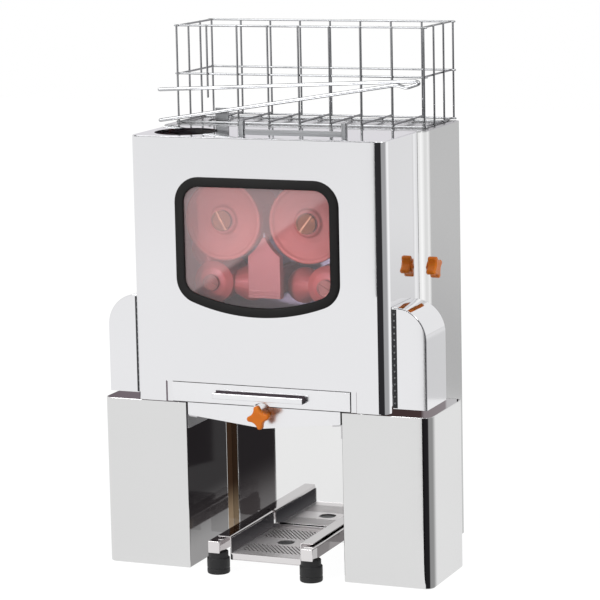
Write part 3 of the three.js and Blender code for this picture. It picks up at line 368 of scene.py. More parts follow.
# A polyline whose corners are quadratic curves that start and end a radius from each corner
def softened(profile, radius, steps=4, closed=False):
    points = np.asarray(profile, float)
    count = len(points)
    made = []
    for i, here in enumerate(points):
        if not closed and i in (0, count - 1):
            made.append(here[None])
            continue
        a, b = points[i - 1] - here, points[(i + 1) % count] - here
        reach = min(radius, 0.49 * np.linalg.norm(a), 0.49 * np.linalg.norm(b))
        a, b = a / np.linalg.norm(a) * reach, b / np.linalg.norm(b) * reach
        t = np.linspace(0, 1, steps + 1)[:, None]
        made.append(here + a * (1 - t) ** 2 + b * t ** 2)
    return np.concatenate(made)


# A round rod swept along a path, with domed ends: P = path + radius * (n cos t + b sin t)
def addRod(patch, path, radius, count):
    path = np.asarray(path, float)
    along = np.gradient(path, axis=0)
    along /= np.linalg.norm(along, axis=1, keepdims=True)
    helper = np.eye(3)[1 if np.abs(along[:, 1]).max() < 0.9 else 0]
    normal = np.cross(along, helper)
    normal /= np.linalg.norm(normal, axis=1, keepdims=True)
    other = np.cross(along, normal)
    turns = fullTurn(count)[None, :, None]
    ring = normal[:, None] * np.cos(turns) + other[:, None] * np.sin(turns)
    rows = list(path[:, None] + radius * ring)
    domeTurns = (0.5, 1.0, math.pi / 2 - 0.02)
    for end, sign in ((0, -1), (-1, 1)):
        caps = [path[end] + radius * (ring[end] * math.cos(a) + sign * along[end] * math.sin(a))
                for a in domeTurns]
        rows = caps[::-1] + rows if sign < 0 else rows + caps
    addGrid(patch, rows, wrapV=True)
    addCap(patch, rows[0])
    addCap(patch, rows[-1])


# Materials

# Object coordinates in metres, stretched along an axis where a grain runs
def addCoordinates(tree, scale=(1, 1, 1)):
    coordinates = addNode(tree, "TexCoord")
    return addNode(tree, "Mapping", {"Vector": (coordinates, "Object"), "Scale": scale})


# Three noise patterns, each a scale and a detail, sway a finish: the first its colour from shade to
# tint, the second its roughness between two values, the third its normal by a depth and a strength
def makeFinish(name, tint, shade, patterns, rough, bump, sockets, grain=(1, 1, 1), rim=None):
    made, tree = newMaterial(name)
    place = addCoordinates(tree, grain)
    noises = {p: addNode(tree, "TexNoise", {"Vector": (place, 0), "Scale": p[0], "Detail": p[1]})
              for p in dict.fromkeys(patterns)}
    clouds, haze, relief = (noises[p] for p in patterns)
    colour = addNode(tree, "Mix", {"Factor": (clouds, 0), mixShade: linear(shade),
                                   mixTint: linear(tint)}, data_type="RGBA")
    # Painted shade: as the surface turns away, its colour goes to the rim tint, in place of darker
    # reflections at the edges
    if rim:
        turned = addNode(tree, "LayerWeight", {"Blend": 0.35})
        colour = addNode(tree, "Mix", {"Factor": (turned, "Facing"), mixShade: (colour, mixColour),
                                       mixTint: linear(rim)}, data_type="RGBA")
    swayed = addNode(tree, "MapRange", {"Value": (haze, 0), "To Min": rough[0], "To Max": rough[1]})
    normal = addNode(tree, "Bump", {"Height": (relief, 0), "Distance": bump[0],
                                    "Strength": bump[1]})
    shader = addNode(tree, "BsdfPrincipled", {
        "Base Color": (colour, mixColour), "Roughness": (swayed, 0), "Normal": (normal, 0),
        **sockets})
    endMaterial(tree, shader)
    return made


# Stainless sheet or wire, ground and buffed: a mirror with faint clouds from the buffing wheel;
# rim is a painted shade: the darker tint that a round wire turns to at its edges, in place of the
# darker surroundings it would reflect there
def polishedSteel(name, tint, shade, roughness=0.07, cloud=3.0, wave=0.00003, rim=None):
    return makeFinish(name, tint, shade, ((cloud, 3.0), (14.0, 5.0), (6.0, 1.0)),
                      (roughness * 0.7, roughness * 1.5), (wave, 0.25), {"Metallic": 1.0}, rim=rim)


# Stainless sheet with a belt-ground grain, drawn about 1 mm wide so that it shows
def brushedSteel(name, tint, shade, roughness=0.28, metal=1.0):
    return makeFinish(name, tint, shade, ((1.0, 4.0),) * 3, (roughness * 0.75, roughness * 1.3),
                      (0.00002, 0.4), {"Metallic": metal}, grain=(8.0, 900.0, 900.0))


# Injection-moulded plastic: slow flow clouds and a spark-eroded grain, drawn about 0.7 mm wide so
# that it shows
def mouldedPlastic(name, tint, shade, roughness=0.35, grain=1400.0, coat=0.0, subsurface=0.0,
                   cloud=20.0):
    sockets = {"IOR": 1.49, "Specular IOR Level": 0.32, "Coat Weight": coat, "Coat Roughness": 0.12}
    if subsurface:
        sockets.update({"Subsurface Weight": subsurface, "Subsurface Radius": (1.0, 0.35, 0.1),
                        "Subsurface Scale": 0.004})
    return makeFinish(name, tint, shade, ((cloud, 4.0), (cloud, 4.0), (grain, 2.0)),
                      (roughness * 0.85, roughness * 1.15), (0.00002, 0.5), sockets)


# Black moulded rubber: matt, with a bloom of greyer patches and a grain drawn about 1 mm wide
def mouldedRubber(name, tint, shade, roughness=0.5, gloss=0.3):
    return makeFinish(name, tint, shade, ((35.0, 5.0), (35.0, 5.0), (900.0, 3.0)),
                      (roughness * 0.85, roughness * 1.2), (0.00004, 0.5),
                      {"IOR": 1.52, "Specular IOR Level": gloss})


# Sand-cast or machined metal with an even grit, drawn 2 to 4 mm wide so that it shows
def castMetal(name, tint, shade, roughness=0.5, grain=260.0, depth=0.00015):
    return makeFinish(name, tint, shade, ((grain, 6.0),) * 3, (roughness * 0.7, roughness * 1.25),
                      (depth, 0.35), {"Metallic": 1.0})


film = {"slope": 0.68, "level": 0.476, "blur": 0.006, "thin": 0.012, "dense": 0.09,
        "tint": "#DFC2C0"}


# A clear sheet, faintly tinted; a pale diffuse haze over it is denser above a line that falls to
# the left
def clearPolycarbonate(name, tint):
    made, tree = newMaterial(name)
    place = addCoordinates(tree)
    paneMottle = addNode(tree, "TexNoise", {"Vector": (place, 0), "Scale": 9.0, "Detail": 3.0})
    rough = addNode(tree, "MapRange", {"Value": (paneMottle, 0), "To Min": 0.01, "To Max": 0.04})
    sheet = addNode(tree, "BsdfPrincipled", {"Base Color": linear(tint), "Transmission Weight": 1.0,
                                             "Roughness": (rough, 0), "IOR": 1.5})
    clear = addNode(tree, "BsdfTransparent", {"Color": linear(tint)})
    path = addNode(tree, "LightPath")
    either = addNode(tree, "Math", {0: (path, "Is Shadow Ray"), 1: (path, "Is Diffuse Ray")},
                     operation="MAXIMUM")
    mixed = addNode(tree, "MixShader", {0: (either, 0), 1: (sheet, 0), 2: (clear, 0)})
    axes = addNode(tree, "SeparateXYZ", {0: (place, 0)})
    along = addNode(tree, "Math", {0: (axes, "X"), 1: -film["slope"], 2: (axes, "Z")},
                    operation="MULTIPLY_ADD")
    density = addNode(tree, "MapRange", {
        "Value": (along, 0), "From Min": film["level"] - film["blur"],
        "From Max": film["level"] + film["blur"], "To Min": film["thin"], "To Max": film["dense"]},
        interpolation_type="SMOOTHSTEP")
    spread = addNode(tree, "Math", {0: (density, 0), 1: (paneMottle, 0)}, operation="MULTIPLY")
    amount = addNode(tree, "Math", {0: (spread, 0), 1: 0.9, 2: (density, 0)},
                     operation="MULTIPLY_ADD")
    haze = addNode(tree, "BsdfDiffuse", {"Color": linear(film["tint"])})
    veiled = addNode(tree, "MixShader", {0: (amount, 0), 1: (mixed, 0), 2: (haze, 0)})
    endMaterial(tree, veiled)
    return made


fineWave, edgeWave = 0.00001, 30.0  # metres of relief and pattern scale of the smoothest steels
steelHood = polishedSteel("polishedStainlessHood", "#E4E4E6", "#DCDCDE", 0.05, 2.2)
steelCabinet = polishedSteel("polishedStainlessCabinet", "#BFBFBF", "#B0B0B0", 0.16, 2.2)
steelBin = polishedSteel("polishedStainlessBin", "#D9D9D9", "#D0D0D0", 0.05, 2.6)
steelTank = polishedSteel("polishedStainlessTank", "#E6E6E8", "#DEDEE0", 0.2, 2.2)
steelMirror = polishedSteel("polishedStainlessMirror", "#E6E6E6", "#DDDDDD", 0.025, 3.0, fineWave)
steelTube = polishedSteel("polishedStainlessTube", "#DEDCDC", "#CFCBCC", 0.05, 6.0)
steelBrushed = brushedSteel("brushedStainless", "#CDCCCD", "#AEADB0")
steelGrille = brushedSteel("brushedStainlessGrille", "#EDEAEA", "#D2CECF", 0.34, metal=0.6)
steelFitting = brushedSteel("brushedStainlessFitting", "#8F9092", "#737476", 0.3)
steelPlate = brushedSteel("brushedStainlessPlate", "#B9B3BE", "#9C97A3", 0.35)
# The wires' and rod's rim tints are painted shade at their edges
chromeWire = polishedSteel("chromedWire", "#B4B5B7", "#8C8D8F", 0.12, edgeWave, fineWave, "#454648")
chromeRod = polishedSteel("chromedRod", "#CFD0D2", "#A9AAAC", 0.1, edgeWave, fineWave, "#3F4042")
alloyCast = castMetal("sandCastAlloy", "#A2A5A8", "#84878B")
steelGear = castMetal("oiledGearSteel", "#8D9096", "#6F7278", 0.38, 420.0, 0.00006)
brassTurned = castMetal("turnedBrass", "#704831", "#5E3A26", 0.36, 500.0, 0.00004)
# A lighter brass for the cup nuts' finger bars: a painted highlight
brassBarHighlight = castMetal("brassPaintedHighlight", "#AC8365", "#9D7558", 0.42, 500.0, 0.00002)
# A darker, duller brass for the ball nuts
brassShaded = castMetal("dullDarkBrass", "#8E5A50", "#774840", 0.5, 500.0, 0.00004)
# Black rubber for the window seal, and also the painted shade in the drawer's lower gap
rubberSealAndGapShade = mouldedRubber("mouldedRubberSealAndGapShade", "#151414", "#111010", 0.6, 0.14)
# A matt dark rubber finish, used only for the painted shade along the drawer pull
pullShadeRubber = mouldedRubber("pullPaintedShade", "#51484E", "#433C41", 0.6, 0.14)
rubberFoot = mouldedRubber("mouldedRubberFoot", "#262627", "#1B1B1C", 0.5)
paneClear = clearPolycarbonate("clearPolycarbonate", "#F1ECF4")
plasticOrange = mouldedPlastic("mouldedOrangePlastic", "#D8780C", "#BE5C06", 0.34, 900.0,
                               subsurface=0.15, cloud=60.0)
plasticCup = mouldedPlastic("mouldedCoralPlastic", "#B86052", "#B05649", 0.5, subsurface=0.1)
plasticBall = mouldedPlastic("mouldedRedPlastic", "#CE655A", "#BE574D", 0.34, subsurface=0.1)
plasticWedge = mouldedPlastic("mouldedPaleCoralPlastic", "#B5736A", "#AD6960", 0.38, subsurface=0.1)
plasticBlack = mouldedPlastic("mouldedBlackPlastic", "#2E2F31", "#242527", 0.45)
plasticGreen = mouldedPlastic("mouldedGreenPlastic", "#2F9A4A", "#27853F", 0.28, coat=0.3)
plasticRed = mouldedPlastic("mouldedRedButtonPlastic", "#C63A2D", "#AE3025", 0.28, coat=0.3)
print("materials made:", len(bpy.data.materials))


# Hood: front panel with its window, folded sides, a rounded top edge and a top with the feed hole

hood = {
    "wall": 2.0,
    "corner": 12.0,
    "topEdge": 1.6,
    "top": 631.0,
    "frontBand": 14.0,
    "sideBottom": 258.0,
    "notchHalf": 147.0,
    "notchTop": 278.0,
    "windowGrip": 6.0,  # how far the sheet reaches into the seal
    "feedHole": (-132.0, 60.0, 46.0),  # x, y and radius
    "mouth": (26.0, 90.0, 266.0, 370.0),  # the peel's opening in each side: y and z, from and to
    "tongue": (415.0, 457.0, 157.7),  # z from and to, and its end in y
    "screwSlot": (135.7, 431.7, 440.3),  # start in y, z from and to
    "back": 130.7,
    "sampleStep": 12.0,
}

window = {
    "half": 125.0,
    "corner": 37.0,
    "sag": 290.0,  # radius of the bow along the bottom
    "top": 574.0,
    "bottom": 376.4,
    "centre": (0.0, 480.0),
}


# The window's outline, anticlockwise from its right side: two top corners, two leaning bottom
# corners and one flat bow between them, all drawn inwards by the inset
def windowOutline(inset, cornerSteps=10, sagSteps=28):
    half, corner = window["half"], window["corner"]
    cornerX = half - corner
    topZ = window["top"] - corner
    sagZ = window["bottom"] + window["sag"]
    bottomZ = sagZ - math.sqrt((window["sag"] - corner) ** 2 - cornerX ** 2)
    lean = math.atan2(bottomZ - sagZ, cornerX)

    def arc(x, z, radius, start, end, steps=cornerSteps):
        return arcLine((x, z), radius - inset, np.linspace(start, end, steps + 1))

    return np.concatenate([
        arc(cornerX, topZ, corner, 0, math.pi / 2),
        arc(-cornerX, topZ, corner, math.pi / 2, math.pi),
        arc(-cornerX, bottomZ, corner, math.pi, math.pi - lean)[:-1],
        arc(0, sagZ, window["sag"], -math.pi - lean, lean, sagSteps),
        arc(cornerX, bottomZ, corner, lean, 0)[1:],
    ])


# Plan line and normals of a bent sheet's right side: a quarter bend, then straight back
def bentSide(half, corner, front, depths):
    turns = np.linspace(0, math.pi / 2, 11)
    straight = upright(half, depths[1:])
    bendNormals = np.stack([np.sin(turns), -np.cos(turns)], 1)
    bend = bendNormals * corner + (half - corner, front + corner)
    normals = np.concatenate([bendNormals, np.tile([1.0, 0.0], (len(straight), 1))])
    return np.concatenate([bend, straight]), normals


# A right side's line or normals, mirrored to the left and joined by what lies between
def mirrored(side, middle):
    return np.concatenate([(side * (-1, 1))[::-1], middle, side])


# Rounds a plan run over into the top: P = run - normal * inset at height - drop; returns its rim
def addTopEdge(patch, run, normals, edge, height):
    insets, drops = quarterRound(edge, 5)
    addGrid(patch, [lifted(run - normals * i, height - d)
                    for i, d in zip(insets[::-1], drops[::-1])])
    return run - normals * edge


# The front: rays from the window to the panel's edges, and a tab under each end of it
def addHoodFront(sheet, flat, top, across, rightEdge, low):
    panel = np.concatenate([
        upright(flat, rightEdge),
        levelLine(across[::-1], top)[1:-1],
        upright(-flat, rightEdge[::-1]),
        levelLine(across, hood["notchTop"])[1:-1]])
    centre = np.array(window["centre"])
    inner = rayHits(windowOutline(hood["windowGrip"]), centre, anglesOf(panel, centre))
    addGrid(sheet, [facing(row, 0.0) for row in between(inner, panel)], wrapV=True)
    tabs = np.stack(np.meshgrid(across, [0.0], low, indexing="ij"), -1)[:, 0]
    beside = np.abs(midway(across)) > hood["notchHalf"]
    addGrid(sheet, tabs, keep=np.repeat(beside[:, None], 2, 1))


# Each side: its plan run lifted through the heights, less the mouth and round the slotted tongue
def addHoodSides(sheet, sideRun, heights):
    half = sideRun[-1, 0]
    tongueLow, tongueHigh, tongueEnd = hood["tongue"]
    slotStart, slotLow, slotHigh = hood["screwSlot"]
    run = np.concatenate([sideRun, upright(half, np.array([slotStart, tongueEnd]))])
    y, z = midway(run[:, 1])[None], midway(heights)[:, None]
    mouthFront, mouthBack, mouthLow, mouthHigh = hood["mouth"]
    body = (y < hood["back"]) & ((z > hood["sideBottom"]) | (y < hood["frontBand"]))
    mouth = (y > mouthFront) & (y < mouthBack) & (z > mouthLow) & (z < mouthHigh)
    tongue = (y > hood["back"]) & (z > tongueLow) & (z < tongueHigh)
    slot = (y > slotStart) & (z > slotLow) & (z < slotHigh)
    for side in sides.values():
        addGrid(sheet, [lifted(run * (side, 1), height) for height in heights],
                keep=(body & ~mouth) | (tongue & ~slot))


def makeHood():
    half, corner, edge = hoodHigh[0], hood["corner"], hood["topEdge"]
    flat, top, step = half - corner, hood["top"] - edge, hood["sampleStep"]
    sheet = newPatch()
    zLines = [hood["sideBottom"], *hood["mouth"][2:], *hood["tongue"][:2], *hood["screwSlot"][1:]]
    rightEdge = stretch(hood["notchTop"], top, 40, zLines)
    across = stretch(-flat, flat, step, (-hood["notchHalf"], hood["notchHalf"]))
    low = np.array([hoodLow[2], hood["sideBottom"], hood["notchTop"]])
    addHoodFront(sheet, flat, top, across, rightEdge, low)
    depths = stretch(corner, hood["back"], step, (hood["frontBand"], *hood["mouth"][:2]))
    sideRun, sideNormals = bentSide(half, corner, 0.0, depths)
    addHoodSides(sheet, sideRun, np.concatenate([low[:-1], rightEdge]))

    run = mirrored(sideRun, levelLine(across[1:-1], 0.0))
    normals = mirrored(sideNormals, np.tile([0.0, -1.0], (len(across) - 2, 1)))
    rim = addTopEdge(sheet, run, normals, edge, hood["top"])
    backRun = stretch(rim[-1, 0], rim[0, 0], step)[1:-1]
    rim = np.concatenate([rim, levelLine(backRun, hood["back"])])
    holeX, holeY, radius = hood["feedHole"]
    circle = arcLine((holeX, holeY), radius, anglesOf(rim, np.array([holeX, holeY])))
    addGrid(sheet, [lifted(row, hood["top"]) for row in between(circle, rim)], wrapV=True)
    for part in sheet["points"]:
        part[:, 1] += frontY
    makePiece("hood_casing", sheet, steelHood, "hood", ["hood_shell"],
              wall=hood["wall"], edge=0.35)


makeHood()
print("hood made")


# Window seal and pane

gasket = {"width": 14.0, "lip": 3.0, "neckOuter": 6.3, "neckInner": 7.7, "backInset": 2.0,
          "swell": 0.55}


# The seal is a closed profile of inset and depth carried round the window's outline
def makeWindow():
    width, lip, wall = gasket["width"], gasket["lip"], hood["wall"]
    front, back = -seat, wall + seat
    turns = np.linspace(0, math.pi, 13)
    rise = lip * np.sin(turns) ** gasket["swell"]
    crown = np.stack([width / 2 - width / 2 * np.cos(turns), front - rise], 1)
    heel = np.stack([width / 2 + (width / 2 - gasket["backInset"]) * np.cos(turns), back + rise], 1)
    innerNeck = [[gasket["neckInner"], front], [gasket["neckInner"], back]]
    outerNeck = [[gasket["neckOuter"], back], [gasket["neckOuter"], front]]
    profile = np.concatenate([crown, innerNeck, heel, outerNeck])
    seal = newPatch()
    addGrid(seal, [facing(windowOutline(inset), frontY + depth) for inset, depth in profile],
            wrapU=True, wrapV=True)
    makePiece("window_seal", seal, rubberSealAndGapShade, "hood", ["window_gasket"],
              sharpAngle=50)
    pane = newPatch()
    addPrism(pane, windowOutline(gasket["neckInner"] + seat), frontY, wall, facing, 0.2)
    makePiece("window_sheet", pane, paneClear, "hood", ["window_pane"])


makeWindow()
print("window made")


# Cabinet: rounded front corners, a rounded top edge, long side skirts and a flange behind the hood

cabinet = {
    "wall": 2.0,
    "corner": 12.0,
    "topEdge": 1.6,
    "belly": 258.0,
    "skirtFront": 168.0,
    "flange": 25.0,
    "flangeTop": 20.0,
    "flangeBottom": 12.0,
}


def makeCabinet():
    low, high = span("cabinet_shell")
    half, corner, edge = high[0], cabinet["corner"], cabinet["topEdge"]
    front, back, belly = low[1], high[1], cabinet["belly"]
    skirtFront = frontY + cabinet["skirtFront"]
    sheet = newPatch()
    heights = stretch(low[2], high[2] - edge, 60, [belly])
    depths = stretch(front + corner, back, 30, [skirtFront])
    sideRun, sideNormals = bentSide(half, corner, front, depths)
    aboveBelly = midway(heights)[:, None] > belly
    inSkirt = midway(sideRun[:, 1])[None] > skirtFront
    for side in sides.values():
        addGrid(sheet, [lifted(sideRun * (side, 1), z) for z in heights],
                keep=aboveBelly | inSkirt)
    # The front is a flange round one large opening
    inner, flat = half - cabinet["flange"], half - corner
    openLow, openHigh = belly + cabinet["flangeBottom"], high[2] - cabinet["flangeTop"]
    across = np.array([-flat, -inner, inner, flat])
    rows = np.unique([*heights[heights >= belly - 0.01], openLow, openHigh])
    opened = (np.abs(midway(across))[:, None] < inner) & (midway(rows) > openLow) & (
        midway(rows) < openHigh)
    addGrid(sheet, np.stack(np.meshgrid(across, [front], rows, indexing="ij"), -1)[:, 0],
            keep=~opened)
    run = mirrored(sideRun, [[-inner, front], [inner, front]])
    rim = addTopEdge(sheet, run, mirrored(sideNormals, [[0.0, -1.0]] * 2), edge, high[2])
    middle = np.array([0.0, (front + back) / 2])
    addGrid(sheet, [lifted(row, high[2]) for row in between(rim, middle)], wrapV=True)
    makePiece("cabinet_casing", sheet, steelCabinet, "base",
              ["cabinet_shell"], wall=cabinet["wall"], edge=0.35)


makeCabinet()
print("cabinet made")


# Peel bins: deep open boxes with round outer corners and a hemmed rim

binShape = {"wall": 1.5, "corner": 12.0, "fold": 1.6, "floorEdge": 2.0,
            "levels": (60.0, 120.0, 180.0)}


# Rows of inset and height: the floor's edge, the outside, the hem as a half circle, the inside
def makeBin(sideName):
    low, high = span("peel_bin_" + sideName)
    radius, fold, wall = binShape["corner"], binShape["fold"], binShape["wall"]
    radii = [radius, radius, fold, fold] if sideName == "right" else [fold, fold, radius, radius]
    hem = arcLine((wall / 2, high[2] - wall / 2), wall / 2, np.linspace(math.pi, 0, 7))
    rows = [(inset, low[2] + rise) for inset, rise in zip(*quarterRound(binShape["floorEdge"], 4))]
    rows += [(0.0, z) for z in binShape["levels"]] + [*hem]
    rows += [(wall, binShape["levels"][1]), (wall, low[2] + wall)]
    patch = newPatch()
    loops = [lifted(planOutline(low[0], high[0], low[1], high[1], radii, 12, inset), z)
             for inset, z in rows]
    addGrid(patch, loops, wrapV=True)
    addCap(patch, loops[0])
    addCap(patch, loops[-1])
    makePiece("peel_bin_steel_" + sideName, patch, steelBin, sideName + "_bin",
              ["peel_bin_" + sideName], sharpAngle=40)


for sideName in sides:
    makeBin(sideName)
print("bins made")


# Peel chutes: a folded hood over each bin's outer half, with a dark strip at the inner edge

chute = {"bend": 47.0, "wall": 1.5, "edge": 1.4, "strip": 7.0, "stripProud": 0.5, "pinPitch": 9.0,
         "pinRadius": 1.6, "pinMargin": 8.0}


# The chute's line over and down, as x and z, with its normals; carried back with rounded ends
def makeChute(sideName, sign):
    low, high = span("peel_chute_" + sideName)
    inner, outer = sorted(abs(x) for x in (low[0], high[0]))
    front, back, bottom, top = low[1], high[1], low[2], high[2]
    bend = chute["bend"]
    turns = np.linspace(math.pi / 2, 0, 19)
    down = stretch(top - bend, bottom, 24)[1:]
    line = np.concatenate([[[inner, top]], arcLine((outer - bend, top - bend), bend, turns),
                           upright(outer, down)])
    normals = np.concatenate([[[0.0, 1.0]], arcLine((0, 0), 1.0, turns),
                              np.tile([1.0, 0.0], (len(down), 1))])
    rows = [(inset, front + offset) for inset, offset in zip(*quarterRound(chute["edge"], 4))]
    rows += [(inset, front + back - y) for inset, y in rows[::-1]]
    patch = newPatch()
    band = [facing((line - normals * inset) * (sign, 1), y) for inset, y in rows]
    addGrid(patch, band)
    for row in (band[0], band[-1]):
        innerLine = row.copy()
        innerLine[:, 0] = sign * inner
        addGrid(patch, between(row, innerLine))
    makePiece("chute_steel_" + sideName, patch, steelHood, "hood",
              ["peel_chute_" + sideName], wall=chute["wall"], edge=0.25)
    strip, face = newPatch(), front - chute["stripProud"]
    near, far = sorted((sign * (inner + 0.2), sign * (inner + chute["strip"])))
    addBlock(strip, (near, face, bottom + 1.0), (far, front - 0.05, top - 3.0), 0.2, 0.2)
    makePiece("chute_strip_" + sideName, strip, plasticBlack, "hood")
    pins, radius, margin = newPatch(), chute["pinRadius"], chute["pinMargin"]
    profile = softened([(0.01, face - 0.5), (radius - 0.5, face - 0.5), (radius, face + 0.2),
                        (0.01, face + 0.2)], 0.3, 3)
    for z in np.arange(bottom + margin, top - margin, chute["pinPitch"]):
        addTurned(pins, profile, (near + far) / 2, z, 12)
    makePiece("chute_pins_" + sideName, pins, steelFitting, "hood")


for sideName, sign in sides.items():
    makeChute(sideName, sign)
print("chutes made")


# Juice tank: a shallow box whose floor falls to the middle, and the tongue on its front

tank = {"wall": 1.5, "sideBottom": 227.4, "edge": 1.2, "tongue": 17.8}


# Where the tank's star knob turns, as x and z
def knobCentre():
    knobLow, knobHigh = span("tank_knob")
    return ((knobLow + knobHigh) / 2)[[0, 2]]


# The section seen from the front: height = bottom + |x| * slope between two upright sides
def makeTank():
    low, high = span("juice_tank")
    half, front, back, top, bottom = high[0], low[1], high[1], high[2], low[2]
    across = stretch(-half + tank["edge"], half - tank["edge"], 12)
    underside = bottom + np.abs(across) * (tank["sideBottom"] - bottom) / half
    sideEnd = tank["sideBottom"] + 1.0
    line = np.concatenate([[[-half, top], [-half, sideEnd]], np.stack([across, underside], 1),
                           [[half, sideEnd], [half, top]]])
    patch = newPatch()
    addGrid(patch, [facing(line, y) for y in stretch(front, back, 30)])
    for y in (front, back):
        addGrid(patch, [facing(row, y) for row in between(line, levelLine(line[:, 0], top))])
    makePiece("tank_steel", patch, steelTank, "tank", ["juice_tank"],
              wall=tank["wall"], edge=0.5)
    # A tongue on the tank's front closes the scallop in the drawer's lower edge
    centre, radius = knobCentre(), tank["tongue"]
    start = math.asin((top - 0.8 - centre[1]) / radius)
    tongue = newPatch()
    addPrism(tongue, arcLine(centre, radius, np.linspace(start, math.pi - start, 17)),
             front + 0.2, 1.0, facing, 0.2)
    makePiece("tank_tongue", tongue, steelTank, "tank")


makeTank()
print("tank made")


# Filter drawer: a front panel with a folded J pull, and the tray behind it

drawer = {
    "wall": 2.0,
    "pullHalf": 69.0,
    "pullReach": 12.0,
    "pullLow": 258.0,
    "pullHigh": 266.0,
    "trayHalf": 135.0,
    "trayWall": 1.5,
    "trayLow": 254.3,
    "trayHigh": 272.0,
    "trayBack": 122.0,
    "trayCorner": 2.0,
    "ledge": 15.0,
    "scallop": 18.4,
}


# The panel's outline with an arc taken from its lower edge, where the tank's knob passes
def panelOutline(low, high):
    half, radius, centre = high[0], drawer["scallop"], knobCentre()
    start = math.asin((low[2] - centre[1]) / radius)
    arc = arcLine(centre, radius, np.linspace(math.pi - start, start, 15))
    return np.concatenate([[[-half, low[2]]], arc,
                           [[half, low[2]], [half, high[2]], [-half, high[2]]]]), arc


# Panel and pull are prisms; the tray is a closed loop of plan outlines over a ledge's hole
def makeDrawer():
    low, high = span("filter_drawer")
    panel, arc = panelOutline(low, high)
    wall, reach = drawer["wall"], drawer["pullReach"]
    pullLow, pullHigh = drawer["pullLow"], drawer["pullHigh"]
    patch = newPatch()
    addPrism(patch, panel, frontY, wall, facing, 0.3)
    pull = softened([(wall / 2, pullLow), (-reach, pullLow), (-reach, pullHigh),
                     (-reach + wall, pullHigh), (-reach + wall, pullLow + wall),
                     (wall / 2, pullLow + wall)], 1.2, 4, closed=True) + (frontY, 0)
    addPrism(patch, pull, -drawer["pullHalf"], 2 * drawer["pullHalf"], sideways, 0.3)
    half, thin, ledge = drawer["trayHalf"], drawer["trayWall"], drawer["ledge"]
    front, back = frontY + wall, frontY + drawer["trayBack"]
    bottom, top = drawer["trayLow"], drawer["trayHigh"]
    corner = drawer["trayCorner"]
    outline = planOutline(-half, half, front, back, corner, 4)
    inner = planOutline(-half, half, front, back, corner, 4, thin)
    hole = planOutline(-half + ledge, half - ledge, front + ledge / 2, back - ledge / 2, corner, 4)
    addGrid(patch, [lifted(line, z) for line, z in (
        (hole, bottom), (outline, bottom), (outline, top), (inner, top), (inner, bottom + thin),
        (hole, bottom + thin))], wrapU=True, wrapV=True)
    makePiece("drawer_steel", patch, steelTank, "drawer", ["filter_drawer"])
    # Painted shade: thin dark blocks under the panel's lower edge, beside the scallop, draw the
    # dark line of the gap between drawer and tank
    lip = newPatch()
    gapFront, gapBack, gapLow, gapHigh = frontY + 0.25, frontY + 1.9, low[2] - 1.1, low[2] + 0.05
    for x0, x1 in ((low[0] + 0.3, arc[0, 0] - 0.6), (arc[-1, 0] + 0.6, high[0] - 0.3)):
        addBlock(lip, (x0, gapFront, gapLow), (x1, gapBack, gapHigh), 0.2, 0.2)
    makePiece("drawer_gap_shade", lip, rubberSealAndGapShade, "drawer")


# Painted shade: a dark strip lies in the pull's trough and behind it on the panel, where the pull's
# shadow and dark inside show
def makePullShade():
    shadeStrip, gap = newPatch(), 0.1
    half, top = drawer["pullHalf"] - 0.6, drawer["pullHigh"]
    troughY = frontY - drawer["pullReach"] + drawer["wall"] + gap
    troughZ = drawer["pullLow"] + drawer["wall"] + gap
    addBlock(shadeStrip, (-half, troughY, troughZ), (half, frontY - gap, top - 0.3), 0.3, 0.3)
    addBlock(shadeStrip, (-half, frontY - 0.9, top - 0.4), (half, frontY - gap, top + 2.2), 0.3, 0.3)
    makePiece("drawer_pull_painted_shade", shadeStrip, pullShadeRubber, "drawer")


makeDrawer()
makePullShade()
print("drawer made")


# Star knobs: round-ended arms with hollow flanks, rounded over at both faces

star = {
    "reach": 17.0,
    "tipHalf": 4.0,
    "hollow": 8.4,
    "arms": 4,
    "sideTurn": 22.5,  # degrees from level to the first arm
    "tankTurn": 10.0,
    "sideDepth": 14.0,
    "tankDepth": 10.5,
    "hubLength": 1.5,
    "edge": 2.2,
    "hub": 9.0,
    "screw": 4.0,
}


# Four tips as half circles, joined by curves that are drawn in to the hollow radius
def starOutline(firstTurn):
    tip = star["reach"] - star["tipHalf"]
    pitch, quarter = 2 * math.pi / star["arms"], math.pi / 2
    t = np.linspace(0, 1, 12)[1:-1, None]

    def polar(radius, turn):
        return radius * np.array([math.cos(turn), math.sin(turn)])

    parts = []
    for arm in range(star["arms"]):
        turn = math.radians(firstTurn) + arm * pitch
        after = turn + pitch
        sweep = np.linspace(turn - quarter, turn + quarter, 13)
        arc = arcLine(polar(tip, turn), star["tipHalf"], sweep)
        start = polar(tip, after) + polar(star["tipHalf"], after - quarter)
        middle = polar(star["hollow"], turn + pitch / 2)
        parts += [arc, arc[-1] * (1 - t) ** 2 + middle * 2 * t * (1 - t) + start * t ** 2]
    return np.concatenate(parts)


